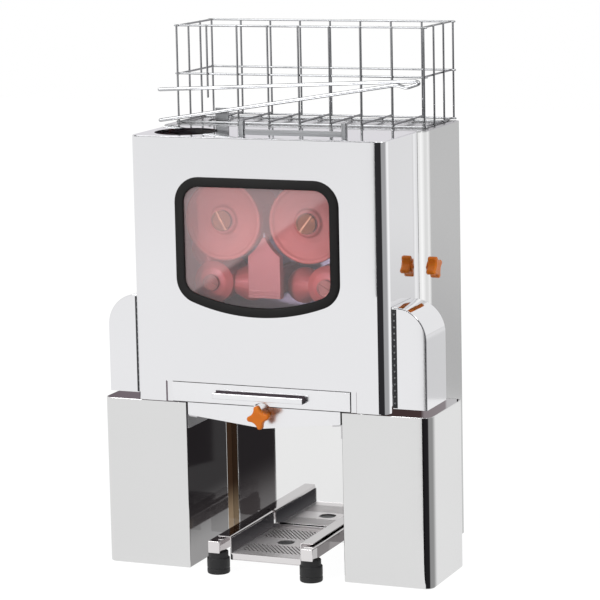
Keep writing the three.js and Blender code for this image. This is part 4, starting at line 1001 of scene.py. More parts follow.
# The star stands on a turned hub, and its screw reaches into the sheet behind;
# side is -1 or 1 on the hood's flanks and 0 on the tank's front
def makeKnob(name, node, body, side):
    low, high = span(node)
    centre = (low + high) / 2
    if side:
        tip, screwEnd = (high[0], low[0]) if side > 0 else (low[0], high[0])
        depth, turn = star["sideDepth"], star["sideTurn"]
        hubEnd = tip - side * depth
        wallEnd = hubEnd - side * star["hubLength"]
        place, middle = sideways, centre[1:]
    else:
        tip, screwEnd = low[1], high[1]
        depth, turn = star["tankDepth"], star["tankTurn"]
        hubEnd = tip + depth
        wallEnd = span("juice_tank")[0][1] - seat
        place, middle = facing, centre[[0, 2]]
    hub, screw = (arcLine(middle, star[part], fullTurn(40)) for part in ("hub", "screw"))
    patch = newPatch()
    addPrism(patch, starOutline(turn) + middle, min(tip, hubEnd), depth, place, star["edge"], 5)
    addPrism(patch, hub, min(hubEnd, wallEnd) - 0.5, abs(hubEnd - wallEnd) + 0.5, place, 0.8, 3)
    addPrism(patch, screw, min(wallEnd, screwEnd), abs(wallEnd - screwEnd), place)
    makePiece(name, patch, plasticOrange, body, [node], sharpAngle=45)


for sideName, sign in sides.items():
    makeKnob("star_knob_" + sideName, "hood_knob_" + sideName, sideName + "_hood_screw", sign)
makeKnob("star_knob_tank", "tank_knob", "tank_screw", 0)
print("knobs made")


# Squeezing unit: cup drums, ball drums, nuts, knife and its holder

drums = {
    "cupAxis": (65.0, 509.0),
    "ballAxis": (88.0, 416.83),
    "pitch": 47.5,
    "cupRadius": 32.0,
    "ballRadius": 26.0,
    "squeezeDepth": 78.0,
    "rightCups": 323.0,
    "rightBalls": 65.0,
    "bore": 9.3,
    "cupFront": 30.0,
    "cupBody": 51.0,
    "ballFront": 40.0,
    "ballHub": 30.0,
    "back": 118.0,
    "turns": 180,
}

# The cup drum's front face as radius and depth, from beside the bore over the rim to the body
cupFace = ((19, 1), (21, 6.4), (30, 6.4), (36, 5.6), (43, 4.6), (51, 2.4), (53.5, 0), (58, 0),
           (58, 13), (51.6, 13))


# Turns, and each turn's angle from the middles of the three pockets or balls
def drumTurns(sign, first):
    turns = fullTurn(drums["turns"])
    middle = np.radians((first if sign > 0 else 180 - first) + 120 * np.arange(3))
    return turns, turns[None, :, None] - middle[None, None, :]


# Radius of the body over turn and depth, cut back to the far wall of each round pocket
def makeCupDrum(sideName, sign):
    x, z = sign * drums["cupAxis"][0], drums["cupAxis"][1]
    bore, front, back = drums["bore"], drums["cupFront"], drums["back"]
    face = softened([(bore, front + 1), *(np.array(cupFace) + (0, front))], 2.2, 5)
    bodyDepth = np.linspace(front + cupFace[-1][1], back - 1, 56)
    tail = np.array([(drums["cupBody"] - 1, back), (bore, back), (bore, front + 1)])
    turns, turn = drumTurns(sign, drums["rightCups"])
    inside = (drums["cupRadius"] ** 2 - (drums["pitch"] * np.sin(turn)) ** 2
              - (bodyDepth - drums["squeezeDepth"])[:, None, None] ** 2)
    wall = drums["pitch"] * np.cos(turn) - np.sqrt(np.maximum(inside, 0))
    pocket = np.where((inside > 0) & (np.cos(turn) > 0), wall, np.inf).min(2)
    body = np.minimum(drums["cupBody"], np.maximum(pocket, bore + 1.5))
    radius = np.concatenate([np.repeat(face[:, :1], len(turns), 1), body,
                             np.repeat(tail[:, :1], len(turns), 1)])
    depth = np.concatenate([face[:, 1], bodyDepth, tail[:, 1]]) + frontY
    patch = newPatch()
    addGrid(patch, turnedGrid(radius, depth, x, z, turns), wrapU=True, wrapV=True)
    makePiece("cup_drum_plastic_" + sideName, patch, plasticCup, sideName + "_cups",
              ["cup_drum_" + sideName], sharpAngle=38)


# A hub with three balls: the radius over turn and depth is the larger of the hub and the balls
def makeBallDrum(sideName, sign):
    x, z = sign * drums["ballAxis"][0], drums["ballAxis"][1]
    bore, hub, front, back = drums["bore"], drums["ballHub"], drums["ballFront"], drums["back"]
    rows = np.concatenate([[front, front + 2, front + 7], np.linspace(front + 10, back - 8, 64),
                           [back - 7, back - 2, back]])
    hubRadius = np.interp(rows, [front, front + 0.1, front + 7, back - 7, back],
                          [hub - 11, hub - 11, hub, hub, hub - 7])
    turns, turn = drumTurns(sign, drums["rightBalls"])
    inside = (drums["ballRadius"] ** 2 - (drums["pitch"] * np.sin(turn)) ** 2
              - (rows - drums["squeezeDepth"])[:, None, None] ** 2)
    ball = drums["pitch"] * np.cos(turn) + np.sqrt(np.maximum(inside, 0))
    reach = np.where((inside > 0) & (np.cos(turn) > 0), ball, 0).max(2)
    rim = np.full((1, len(turns)), bore)
    radius = np.concatenate([rim, np.maximum(hubRadius[:, None], reach), rim])
    depth = np.concatenate([[front], rows, [back]]) + frontY
    patch = newPatch()
    addGrid(patch, turnedGrid(radius, depth, x, z, turns), wrapU=True, wrapV=True)
    makePiece("ball_drum_plastic_" + sideName, patch, plasticBall, sideName + "_balls",
              ["ball_drum_" + sideName], sharpAngle=50)


nut = {"bore": 6.3, "rim": 2.2, "rimDrop": 0.6, "barHalf": 1.5, "sink": 1.8, "core": 3.4}


# A turned brass nut: a raised rim round a sunk face, with a finger bar across it
def makeNut(name, node, body, barTurn, material, barMaterial):
    low, high = span(node)
    radius, bore = (high[0] - low[0]) / 2, nut["bore"]
    x, z = (low[0] + high[0]) / 2, (low[2] + high[2]) / 2
    front, back, face = low[1], high[1], low[1] + nut["sink"]
    rimInner, rimFront = radius - nut["rim"], front + nut["rimDrop"]
    patch = newPatch()
    ring = softened([(bore, face), (rimInner, face), (rimInner, rimFront), (radius, rimFront),
                     (radius, back), (bore, back)], 0.5, 3, closed=True)
    addTurned(patch, ring, x, z, 56)
    core, coreBack = bore + 0.1, back - nut["core"]
    addTurned(patch, [(0.0, face), (core, face), (core, coreBack), (0.0, coreBack)], x, z, 56)
    makePiece(name, patch, material, body, [node], sharpAngle=35)
    turn = math.radians(barTurn)
    along = (radius - 0.4) * np.array([math.cos(turn), -math.sin(turn)])
    across = nut["barHalf"] * np.array([math.sin(turn), math.cos(turn)])
    corners = np.array([-along - across, along - across, along + across, across - along])
    bar = newPatch()
    addPrism(bar, corners + (x, z), front, nut["sink"] + 0.05, facing)
    makePiece(name + "_bar", bar, barMaterial, body, sharpAngle=35)


# The cup nuts' finger bars are in the lighter brass, a painted highlight
for sideName, sign, cupBar in (("left", -1, 62.0), ("right", 1, -52.0)):
    makeCupDrum(sideName, sign)
    makeBallDrum(sideName, sign)
    makeNut("cup_nut_brass_" + sideName, "cup_nut_" + sideName, sideName + "_cups", cupBar,
            brassTurned, brassBarHighlight)
    makeNut("ball_nut_brass_" + sideName, "ball_nut_" + sideName, sideName + "_balls", 30.0,
            brassShaded, brassShaded)

holder = {"half": 24.5, "low": 400.0, "front": 25.0, "back": 37.0, "clear": 69.6, "lift": 7.6,
          "tipHalf": 2.0, "barHalf": 9.0, "barTop": 436.0, "ledges": 3, "ledgeStep": 4.0}


# The front block is bounded by two arcs about the cup axes, with ledges across its foot;
# a bar behind it carries the blade
def makeKnifeHolder():
    axisX, axisZ = drums["cupAxis"][0], drums["cupAxis"][1] + holder["lift"]
    half, low, clear = holder["half"], holder["low"], holder["clear"]
    front, back = frontY + holder["front"], frontY + holder["back"]
    turns = np.linspace(*(-math.acos((x - axisX) / clear) for x in (half, holder["tipHalf"])), 17)
    rightArc = arcLine((axisX, axisZ), clear, turns)
    outline = np.concatenate([[[-half, low], [half, low]], rightArc, (rightArc * (-1, 1))[::-1]])
    patch = newPatch()
    addPrism(patch, outline, front, back - front, facing, 1.0, 3)
    for step in range(holder["ledges"]):
        ledge = low + 0.5 + step * holder["ledgeStep"]
        addBlock(patch, (-half, front - 1.6 + 0.4 * step, ledge),
                 (half, front + 1.0, ledge + holder["ledgeStep"] - 1.3), 0.3, 0.3)
    addBlock(patch, (-holder["barHalf"], back - 1, low),
             (holder["barHalf"], span("knife_holder")[1][1], holder["barTop"]), 0.8, 0.8)
    makePiece("knife_block_plastic", patch, plasticWedge, "base", ["knife_holder"])


makeKnifeHolder()
print("squeezing unit made")


# Base frame: wall, tubes, feet, drip pan and grille

baseWall = {"wall": 2.0, "face": 168.0, "fold": 20.0}


# A plate with two notches for the tubes, folded back along its sides and its top
def makeBaseWall():
    low, high = span("base_wall")
    half, wall, face = high[0], baseWall["wall"], frontY + baseWall["face"]
    tubeLow, tubeHigh = span("base_tube_right")
    near, far = tubeLow[0] - seat, tubeHigh[0] + seat
    across = np.array([-half, -far, -near, near, far, half])
    heights = np.array([low[2], tubeHigh[2] + seat, high[2]])
    patch = newPatch()
    grid = np.stack(np.meshgrid(across, [face], heights, indexing="ij"), -1)[:, 0]
    keep = np.ones((5, 2), bool)
    keep[[1, 3], 0] = False
    addGrid(patch, grid, keep=keep)
    for edge in (grid[0], grid[-1]):
        addGrid(patch, [edge, edge + (0, baseWall["fold"], 0)])
    addGrid(patch, [grid[:, -1], grid[:, -1] * (1, 0, 1) + (0, low[1], 0)])
    makePiece("base_wall_steel", patch, steelMirror, "base", ["base_wall"],
              wall=wall, edge=0.3)
    shelf, floorZ = newPatch(), tubeHigh[2] + 2 * seat
    addBlock(shelf, (-half, face + wall, floorZ), (half, high[1], floorZ + wall), 0.3, 1.0)
    makePiece("base_floor_steel", shelf, steelBrushed, "base")


tube = {"wall": 1.5, "corner": 1.3, "capEdge": 0.7}


# A square tube with rounded long edges, open, or closed by a rounded cap at its start
def addSquareTube(patch, x0, x1, y0, y1, start, end, place, capped):
    outline = planOutline(x0, x1, y0, y1, tube["corner"], 4)
    centre = outline.mean(0)
    size = np.abs(outline - centre).max()
    inner = centre + (outline - centre) * (size - tube["wall"]) / size
    far, farIn = place(outline, end), place(inner, end)
    if not capped:
        addGrid(patch, [place(outline, start), far, farIn, place(inner, start)], wrapU=True,
                wrapV=True)
        return
    nearIn = place(inner, start + tube["wall"])
    normals = outwardNormals(outline)
    edge = quarterRound(tube["capEdge"], 3)
    cap = [place(outline - normals * inset, start + offset) for inset, offset in zip(*edge)]
    addGrid(patch, [*cap, far, farIn, nearIn], wrapV=True)
    addCap(patch, cap[0])
    addCap(patch, nearIn)


def makeTubes():
    for sideName in sides:
        low, high = span("base_tube_" + sideName)
        patch = newPatch()
        addSquareTube(patch, low[0], high[0], low[2], high[2], low[1], high[1], facing, True)
        makePiece("base_tube_steel_" + sideName, patch, steelTube, "base",
                  ["base_tube_" + sideName])
    low, high = span("cross_tube")
    patch = newPatch()
    addSquareTube(patch, low[1], high[1], low[2], high[2], low[0], high[0], sideways, False)
    makePiece("cross_tube_steel", patch, steelTube, "base", ["cross_tube"])


foot = {"neck": 14.5, "neckDrop": 8.4, "groove": (7.0, 9.0), "grooveDepth": 0.6}


# A rubber foot turned about its upright axis: a groove near the counter, a step under its neck
def makeFoot(node):
    low, high = span(node)
    centre = (low + high) / 2
    radius, height, neck = (high[0] - low[0]) / 2, high[2], foot["neck"]
    grooveLow, grooveHigh = foot["groove"]
    grooved, shoulder = radius - foot["grooveDepth"], height - foot["neckDrop"]
    profile = softened([
        (0, 0), (radius - 0.8, 0), (radius, 1.6), (radius, grooveLow), (grooved, grooveLow + 0.4),
        (grooved, grooveHigh - 0.4), (radius, grooveHigh), (radius, shoulder - 1.1),
        (radius - 0.8, shoulder - 0.2), (neck, shoulder), (neck, height), (0, height)], 0.7, 3)
    points = turnedGrid(profile[:, :1], profile[:, 1], centre[0], centre[1], fullTurn(48))
    patch = newPatch()
    addGrid(patch, points[..., [0, 2, 1]], wrapV=True)
    makePiece(node + "_rubber", patch, rubberFoot, "base", [node])


pan = {"wall": 1.5, "bend": 2.0, "frontTop": 28.5, "backTop": 34.0}


# The pan's section from flange to flange, carried from front to back, with two low end walls
def makeDripPan():
    low, high = span("drip_pan")
    wall, flange, inner = pan["wall"], high[0], span("front_foot_right")[0][0] - seat
    section = softened([(-flange, high[2]), (-inner, high[2]), (-inner, low[2]), (inner, low[2]),
                        (inner, high[2]), (flange, high[2])], pan["bend"])
    patch = newPatch()
    addGrid(patch, [facing(section, y) for y in (low[1], (low[1] + high[1]) / 2, high[1])])
    makePiece("drip_pan_steel", patch, steelTube, "pan", ["drip_pan"],
              wall=wall, edge=0.3, flip=True)
    ends = newPatch()
    for y, top in ((low[1], pan["frontTop"]), (high[1] - wall, pan["backTop"])):
        addBlock(ends, (0.4 - inner, y, low[2] + 0.6), (inner - 0.4, y + wall, top), 0.4, 0.4)
    makePiece("drip_pan_ends", ends, steelTube, "pan")


grille = {
    "wall": 1.5,
    "rim": 5.5,
    "bands": ((26.0, 71.0), (105.0, 157.0)),  # from and to, behind the hood's front
    "slope": 0.8,
    "pitch": 6.6,
    "slot": 2.7,
    "hole": (-2.0, 87.0, 13.0),
    "rowStep": 2.0,
}


# One band of slots: x = p - slope * (y - start), held between the two rims, with its end rows solid
def addBand(patch, start, end, inner, top):
    slope, pitch, slot = grille["slope"], grille["pitch"], grille["slot"]
    y = stretch(start, end, grille["rowStep"])
    last = inner + slope * (end - start)
    firsts = np.arange(math.ceil(-inner / pitch) * pitch, last, pitch)
    p = np.unique(np.concatenate([[-inner, last], firsts, firsts + slot]))
    p = p[(p >= -inner) & (p <= last)]
    across, along = np.meshgrid(p, y, indexing="ij")
    across = np.clip(across - slope * (along - start), -inner, inner)
    keep = np.repeat(((midway(p) % pitch) > slot)[:, None], len(y) - 1, 1)
    keep[:, [0, -1]] = True
    addGrid(patch, np.stack([across, along, np.full_like(across, top)], -1), keep=keep)
    return y, np.unique(across[:, 0]), np.unique(across[:, -1])


# A pressed plate: two bands of slots, plain strips at its ends, a ring round the hole, folded rims
def makeGrille():
    low, high = span("drip_grille")
    half, top = high[0], high[2]
    inner = half - grille["rim"]
    holeX, holeY, radius = grille["hole"]
    patch = newPatch()
    (frontRows, frontFirst, frontLast), (backRows, backFirst, backLast) = (
        addBand(patch, frontY + start, frontY + end, inner, top) for start, end in grille["bands"])
    for x, y0, y1 in ((frontFirst, low[1], frontRows[0]), (backLast, backRows[-1], high[1])):
        addGrid(patch, [lifted(levelLine(x, y), top) for y in (y0, y1)])
    ring = np.concatenate([levelLine(frontLast, frontRows[-1]),
                           levelLine(backFirst[::-1], backRows[0])])
    centre = np.array([holeX, holeY + frontY])
    circle = arcLine(centre, radius, anglesOf(ring, centre))
    addGrid(patch, [lifted(circle, top), lifted(ring, top)], wrapV=True)
    along = np.unique([low[1], high[1], *frontRows, *backRows])
    for sign in sides.values():
        addGrid(patch, [lifted(upright(sign * x, along), z)
                        for x, z in ((inner, top), (half, top), (half, low[2]))])
    for y, x in ((low[1], frontFirst), (high[1], backLast)):
        flat = levelLine(np.array([-half, *x, half]), y)
        addGrid(patch, [lifted(flat, top), lifted(flat, low[2])])
    makePiece("grille_steel", patch, steelGrille, "grille", ["drip_grille"],
              wall=grille["wall"], edge=0.25)
    sieve = newPatch()
    addPrism(sieve, arcLine(centre, radius + 1.0, fullTurn(48)), top - grille["wall"] - 0.9, 0.8,
             lifted, 0.2)
    makePiece("grille_sieve", sieve, plasticBlack, "grille")


makeBaseWall()
makeTubes()
for node in ("front_foot_left", "front_foot_right", "rear_foot_left", "rear_foot_right"):
    makeFoot(node)
makeDripPan()
makeGrille()
print("base made")


# Fruit basket, feed guide, rail and stop

basket = {
    "radius": 1.5,
    "pitches": 8,
    "sidePitches": 3,
    "stub": 5.0,
    "bite": 0.6,  # how deep a weld sinks one wire into the other
    "middle": 703.8,
    "openWire": 1,  # the front wire that ends above the floor
    "openEnd": 670.0,
    "floorWire": 248.0,
    "width": 386.0,
    "front": 165.7,
    "back": 291.0,
}


# Upright wires at even pitches, floor wires between them, and three rings round the outside
def makeBasket():
    low, high = span("fruit_basket")
    half, radius, stub = basket["width"] / 2, basket["radius"], basket["stub"]
    front, back = frontY + basket["front"], frontY + basket["back"]
    lap = 2 * radius - basket["bite"]
    bottom, top = low[2] + radius, high[2] - radius
    patch = newPatch()

    def wire(start, end):
        addRod(patch, np.linspace(start, end, 3), radius, 10)

    for i in range(basket["pitches"] + 1):
        x = -half + i * basket["width"] / basket["pitches"]
        wire((x, front, basket["openEnd"] if i == basket["openWire"] else bottom), (x, front, top))
        wire((x, back, bottom), (x, back, top))
        if 0 < i < basket["pitches"]:
            wire((x, front + lap, bottom + lap), (x, back - lap, bottom + lap))
    for side in sides.values():
        for i in range(1, basket["sidePitches"]):
            y = front + i * (back - front) / basket["sidePitches"]
            wire((side * half, y, bottom), (side * half, y, top))
    for z in (bottom, basket["middle"], top):
        for y in (front + lap, back - lap):
            wire((-half - stub + radius, y, z), (half + stub - radius, y, z))
        for x in (lap - half, half - lap):
            wire((x, front, z), (x, back + stub - radius, z))
    floorY = frontY + basket["floorWire"]
    wire((-half, floorY, bottom), (half, floorY, bottom))
    makePiece("basket_wire", patch, chromeWire, "basket", ["fruit_basket"],
              sharpAngle=60)


guide = {"radius": 2.75, "left": -221.0, "upperLeft": 680.0, "upperRight": 699.0,
         "lowerLeft": 634.4, "hook": 187.6, "dip": (168.0, 689.0), "join": (154.0, 693.2),
         "bend": 5.0}


# One rod bent to a long hairpin, seen from the front
def makeGuide():
    low, high = span("feed_guide")
    hook, upper = guide["hook"], guide["upperRight"]
    line = softened([(guide["left"], guide["upperLeft"]), (hook - 4, upper), (hook, upper - 3.5),
                     guide["dip"], guide["join"], (guide["left"], guide["lowerLeft"])],
                    guide["bend"], 6)
    patch = newPatch()
    addRod(patch, facing(line, (low[1] + high[1]) / 2), guide["radius"], 14)
    makePiece("guide_rod", patch, chromeRod, "basket", ["feed_guide"],
              sharpAngle=60)


rail = {"foot": 7.0, "barHalf": 1.0, "barFrom": 2.0, "barTo": 10.0, "stopWall": 2.0}


# The rail is a thin bar between two feet; the stop is an angle
def makeTopFittings():
    low, high = span("fruit_rail")
    patch, width = newPatch(), rail["foot"]
    for x in (low[0], high[0] - width):
        addBlock(patch, (x, low[1], low[2]), (x + width, high[1], high[2]), 0.6, 0.8)
    middle = (low[1] + high[1]) / 2
    addBlock(patch, (low[0] + width / 2, middle - rail["barHalf"], low[2] + rail["barFrom"]),
             (high[0] - width / 2, middle + rail["barHalf"], low[2] + rail["barTo"]), 0.3, 0.3)
    makePiece("rail_steel", patch, steelFitting, "hood", ["fruit_rail"])
    low, high = span("fruit_stop")
    patch, wall = newPatch(), rail["stopWall"]
    (y0, z0), (y1, z1) = low[1:], high[1:]
    section = softened([(y0, z0), (y1, z0), (y1, z0 + wall), (y0 + wall, z0 + wall),
                        (y0 + wall, z1), (y0, z1)], 0.7, 3, closed=True)
    addPrism(patch, section, low[0], high[0] - low[0], sideways, 0.3)
    makePiece("stop_steel", patch, steelFitting, "base", ["fruit_stop"])


makeBasket()
makeGuide()
makeTopFittings()
print("basket made")


# CAD nodes whose shape is right as it is

plainNodes = {
    "front_plate": steelPlate,
    "gear_plate": alloyCast,
    "rear_panel": steelBrushed,
    "power_inlet": plasticBlack,
    "switch_box": plasticBlack,
    "start_button": plasticGreen,
    "stop_button": plasticRed,
    "pinion": steelGear,
    "idler_gear": steelGear,
    "gearmotor": alloyCast,
    "knife": steelMirror,
    "filter_screen": steelBrushed,
}
for sideName in sides:
    plainNodes.update({
        "cup_shaft_" + sideName: steelGear,
        "ball_shaft_" + sideName: steelGear,
        "peel_deflector_" + sideName: plasticCup,
        "drawer_rail_" + sideName: steelHood,
        "tank_rail_" + sideName: steelBrushed,
    })
for node, material in plainNodes.items():
    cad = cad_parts[node]
    cad.data.materials.clear()
    cad.data.materials.append(material)
print("kept nodes dressed:", len(plainNodes))


# Studio: white floor and background, soft lamps, dark flags for the metal to reflect, and cards of
# painted reflection and shade just off the metal

studio = {
    "floorHalf": 6.0,
    "floorShadow": 0.12,
    "floorGlow": 1.09,
    "diffuseLevel": 0.62,
    "flagTint": "#1C1B1D",
    "greyTint": "#97979A",
    "flagReach": 0.30,
}

lamps = (
    ("keyLamp", "AREA", (-1.6, -2.2, 3.2), (0, 0, 0.35), 60,
     {"shape": "RECTANGLE", "size": 1.6, "size_y": 1.6}),
    ("fillLamp", "AREA", (2.4, -1.2, 2.8), (0, 0, 0.35), 26,
     {"shape": "RECTANGLE", "size": 1.4, "size_y": 1.4}),
    ("windowLamp", "SPOT", (-0.8, -4.5, 1.0), (0.01, 0, 0.475), 510,
     {"spot_size": math.radians(4.8), "spot_blend": 0.4, "shadow_soft_size": 0.16}),
)


# 1 for rays from the camera, and for those that polished metal and the pane send on
def addSeenRays(tree):
    path = addNode(tree, "LightPath")
    seen = addNode(tree, "Math", {0: (path, "Is Camera Ray"), 1: (path, "Is Glossy Ray")},
                   operation="MAXIMUM")
    return addNode(tree, "Math", {0: (seen, 0), 1: (path, "Is Transmission Ray")},
                   operation="MAXIMUM")


def addSheet(name, points, faces, material):
    mesh = bpy.data.meshes.new(name)
    mesh.from_pydata(points, [], faces)
    mesh.materials.append(material)
    sheet = bpy.data.objects.new(name, mesh)
    bpy.context.scene.collection.objects.link(sheet)
    return sheet


def makeFloor():
    made, tree = newMaterial("paleFloor")
    matt = addNode(tree, "BsdfDiffuse", {"Color": linear("#E9E9E9")})
    glow = addNode(tree, "Emission", {"Color": (1, 1, 1, 1), "Strength": studio["floorGlow"]})
    lit = addNode(tree, "MixShader", {0: 1 - studio["floorShadow"], 1: (matt, 0), 2: (glow, 0)})
    seen = addSeenRays(tree)
    endMaterial(tree, addNode(tree, "MixShader", {0: (seen, 0), 1: (matt, 0), 2: (lit, 0)}))
    half = studio["floorHalf"]
    corners = [(-half, -half, 0), (half, -half, 0), (half, half, 0), (-half, half, 0)]
    addSheet("floor", corners, [(0, 1, 2, 3)], made)


def makeWorld():
    world = bpy.data.worlds.new("studioWorld")
    bpy.context.scene.world = world
    world.use_nodes = True
    tree = world.node_tree
    tree.nodes.clear()
    dim = addNode(tree, "Background", {"Color": (1, 1, 1, 1), "Strength": studio["diffuseLevel"]})
    white = addNode(tree, "Background", {"Color": (1, 1, 1, 1), "Strength": 1.0})
    mixed = addNode(tree, "MixShader", {0: (addSeenRays(tree), 0), 1: (dim, 0), 2: (white, 0)})
    end = tree.nodes.new("ShaderNodeOutputWorld")
    tree.links.new(mixed.outputs[0], end.inputs["Surface"])


def addLamp(name, kind, place, target, power, settings):
    data = bpy.data.lights.new(name, kind)
    data.energy = power
    for key, value in settings.items():
        setattr(data, key, value)
    lamp = bpy.data.objects.new(name, data)
    bpy.context.scene.collection.objects.link(lamp)
    lamp.location = place
    aim = Vector(target) - Vector(place)
    lamp.rotation_euler = aim.to_track_quat("-Z", "Y").to_euler()


# A card that only reflections see
def addCard(name, points, faces, material):
    card = addSheet(name, points, faces, material)
    for ray in ("camera", "diffuse", "transmission", "volume_scatter", "shadow"):
        setattr(card, "visible_" + ray, False)
    return card


# A card of one tint with a faint weave; it serves as a studio flag, and along the hood's top edge
# as a painted reflection
def addFlag(name, corners, tint):
    made, tree = newMaterial(name + "Cloth")
    weave = addNode(tree, "TexNoise", {"Vector": (addCoordinates(tree), 0), "Scale": 3.0})
    shade = tuple(0.9 * part for part in linear(tint)[:3]) + (1.0,)
    colour = addNode(tree, "Mix", {"Factor": (weave, 0), mixShade: shade, mixTint: linear(tint)},
                     data_type="RGBA")
    endMaterial(tree, addNode(tree, "Emission", {"Color": (colour, mixColour), "Strength": 1.0}))
    addCard(name, corners, [tuple(range(len(corners)))], made)


# A strip of painted reflection and shade along a plan outline, just off the metal, that only
# reflections see; its stops are runs along the outline, tints and densities
def addPaintedReflectionStrip(name, outline, low, high, gain, stops, backGain=None):
    made, tree = newMaterial(name + "Cloth")
    run = np.concatenate([[0], np.cumsum(np.linalg.norm(np.diff(outline, axis=0), axis=1))])
    where = addNode(tree, "Attribute", attribute_name="run")
    place = addNode(tree, "MapRange", {"Value": (where, "Fac"), "From Max": float(run[-1])})
    ramp = addNode(tree, "ValToRGB", {0: (place, 0)})
    marks = ramp.color_ramp.elements
    for at, *_ in stops[1:-1]:
        marks.new(at / stops[-1][0])
    for mark, (_, tint, density) in zip(marks, stops):
        mark.color = linear(tint, density)
    clear = addNode(tree, "BsdfTransparent")
    side = addNode(tree, "NewGeometry")
    power = addNode(tree, "MapRange", {"Value": (side, "Backfacing"), "To Min": gain,
                                       "To Max": backGain or gain})
    cloth = addNode(tree, "Emission", {"Color": (ramp, "Color"), "Strength": (power, 0)})
    mixed = addNode(tree, "MixShader", {0: (ramp, "Alpha"), 1: (clear, 0), 2: (cloth, 0)})
    endMaterial(tree, mixed)
    count = len(outline)
    first = np.arange(count - 1)
    faces = np.stack([first, first + 1, first + 1 + count, first + count], 1)
    corners = np.concatenate([lifted(outline, low), lifted(outline, high)]) * mm
    card = addCard(name, corners.tolist(), faces.tolist(), made)
    layer = card.data.attributes.new("run", "FLOAT", "POINT")
    layer.data.foreach_set("value", np.tile(run, 2).astype(np.float32))


# A card of painted shade, that only reflections see, whose tint and share change along one axis,
# from one place on it to another
def addPaintedShadeCard(name, corners, upper, lower, lowAt, highAt, lowShare, highShare, axis="Z"):
    made, tree = newMaterial(name + "Gauze")
    axes = addNode(tree, "SeparateXYZ", {0: (addCoordinates(tree), 0)})
    rise = addNode(tree, "MapRange", {"Value": (axes, axis), "From Min": lowAt, "From Max": highAt},
                   interpolation_type="SMOOTHSTEP")
    colour = addNode(tree, "Mix", {"Factor": (rise, 0), mixShade: linear(lower),
                                   mixTint: linear(upper)}, data_type="RGBA")
    share = addNode(tree, "MapRange", {"Value": (rise, 0), "To Min": lowShare, "To Max": highShare})
    clear = addNode(tree, "BsdfTransparent")
    cloth = addNode(tree, "Emission", {"Color": (colour, mixColour), "Strength": 1.0})
    endMaterial(tree, addNode(tree, "MixShader", {0: (share, 0), 1: (clear, 0), 2: (cloth, 0)}))
    addCard(name, corners, [(0, 1, 2, 3)], made)


# Four corners of an upright card that stands at one x, between two depths
def sideCard(x, y0, y1, z0, z1):
    return [(x, y0, z0), (x, y1, z0), (x, y1, z1), (x, y0, z1)]


makeFloor()
makeWorld()
for lamp in lamps:
    addLamp(*lamp)

# The corners see a black card to the front and a grey one to the right; the flat fronts see neither
cards = {"end": 0.56, "side": 0.62, "top": 0.72, "step": 0.36, "under": -0.02, "floor": 0.001,
         "shadeLift": 0.002}  # metres
hoodCorner, binCorner = 0.182, 0.240
sight = math.tan(math.radians(cameraView["azimuth"] - 1.5))
cardY = frontY * mm - studio["flagReach"]
hoodStart = hoodCorner - sight * studio["flagReach"]
binStart = binCorner - sight * (studio["flagReach"] - 0.01)
addFlag("cornerFlag", [(x, cardY, cards[level]) for x, level in (
    (binStart, "under"), (cards["end"], "under"), (cards["end"], "top"), (hoodStart, "top"),
    (hoodStart, "step"), (binStart, "step"))], studio["flagTint"])
addFlag("cornerFloorFlag", [(x, y, cards["floor"]) for x, y in (
    (binCorner + 0.01, -0.132), (0.265, -0.128), (cards["end"], cardY), (binStart, cardY))],
        studio["flagTint"])
addFlag("sideFlag", sideCard(cards["side"], cardY, 0.42, cards["under"], 0.80), studio["greyTint"])

# Painted shade in the bay's reflections: a dark card beside the left bin's inner face, a brown one
# behind the bin
binX, binBack = (span("peel_bin_left")[1] * mm)[:2]
addPaintedShadeCard("bayPaintedShade", sideCard(binX + 0.001, binBack - 0.139, binBack - 0.0005, 0.0, 0.25),
        "#2A2729", "#4E494A", 0.02, 0.11, 0.6, 0.96)
addPaintedShadeCard("gapPaintedShade", sideCard(-0.130, binBack + 0.0005, 0.0275, 0.0, 0.25),
        "#3F2E22", "#A08A70", 0.03, 0.09, 0.9, 1.0)
# Painted shade in reflections beside the drip pan's left wall and the right tube
panWall = span("front_foot_left")[1][0] + seat + 2.5
tubeRight, tubeTop = span("base_tube_right")[1][[0, 2]]
nearY, lowZ = span("drip_pan")[0][1:] * mm
for sideName, offX, share, tints in (("left", panWall, 0.9, ("#333235", "#5A595B")),
                                     ("right", tubeRight + 1.2, 0.66, ("#5A5354", "#6A6466"))):
    addPaintedShadeCard(sideName + "TubePaintedShade", sideCard(offX * mm, nearY, nearY + 0.158, lowZ, tubeTop * mm),
            *tints, lowZ, tubeTop * mm, share, share)
# Painted shade: a grey card on the floor for the right sides to reflect, fading further behind the
# machine
addPaintedShadeCard("sidePaintedShade", [(x, y, cards["shadeLift"]) for x, y in (
    (0.45, 1.12), (1.9, 0.80), (5.5, 10.0), (2.5, 10.0))],
        "#8A8A8C", "#8A8A8C", 1.3, 3.4, 0.34, 0.15, axis="Y")

# Painted reflections on strips that lie just off the bends: what a bend shows from black over grey
# to white
bend = 12.0
paintOffset = 0.4


# Plan line just outside the bend of a right front corner: from a turn in degrees, round the bend
# and on along the side by a run
def bendRun(centreX, startY, firstTurn, sideRun):
    turns = np.radians(np.linspace(firstTurn, 90, 24)) - math.pi / 2
    arc = arcLine((centreX, startY + bend), bend + paintOffset, turns)
    return np.concatenate([arc, [[arc[-1, 0], arc[-1, 1] + sideRun]]])


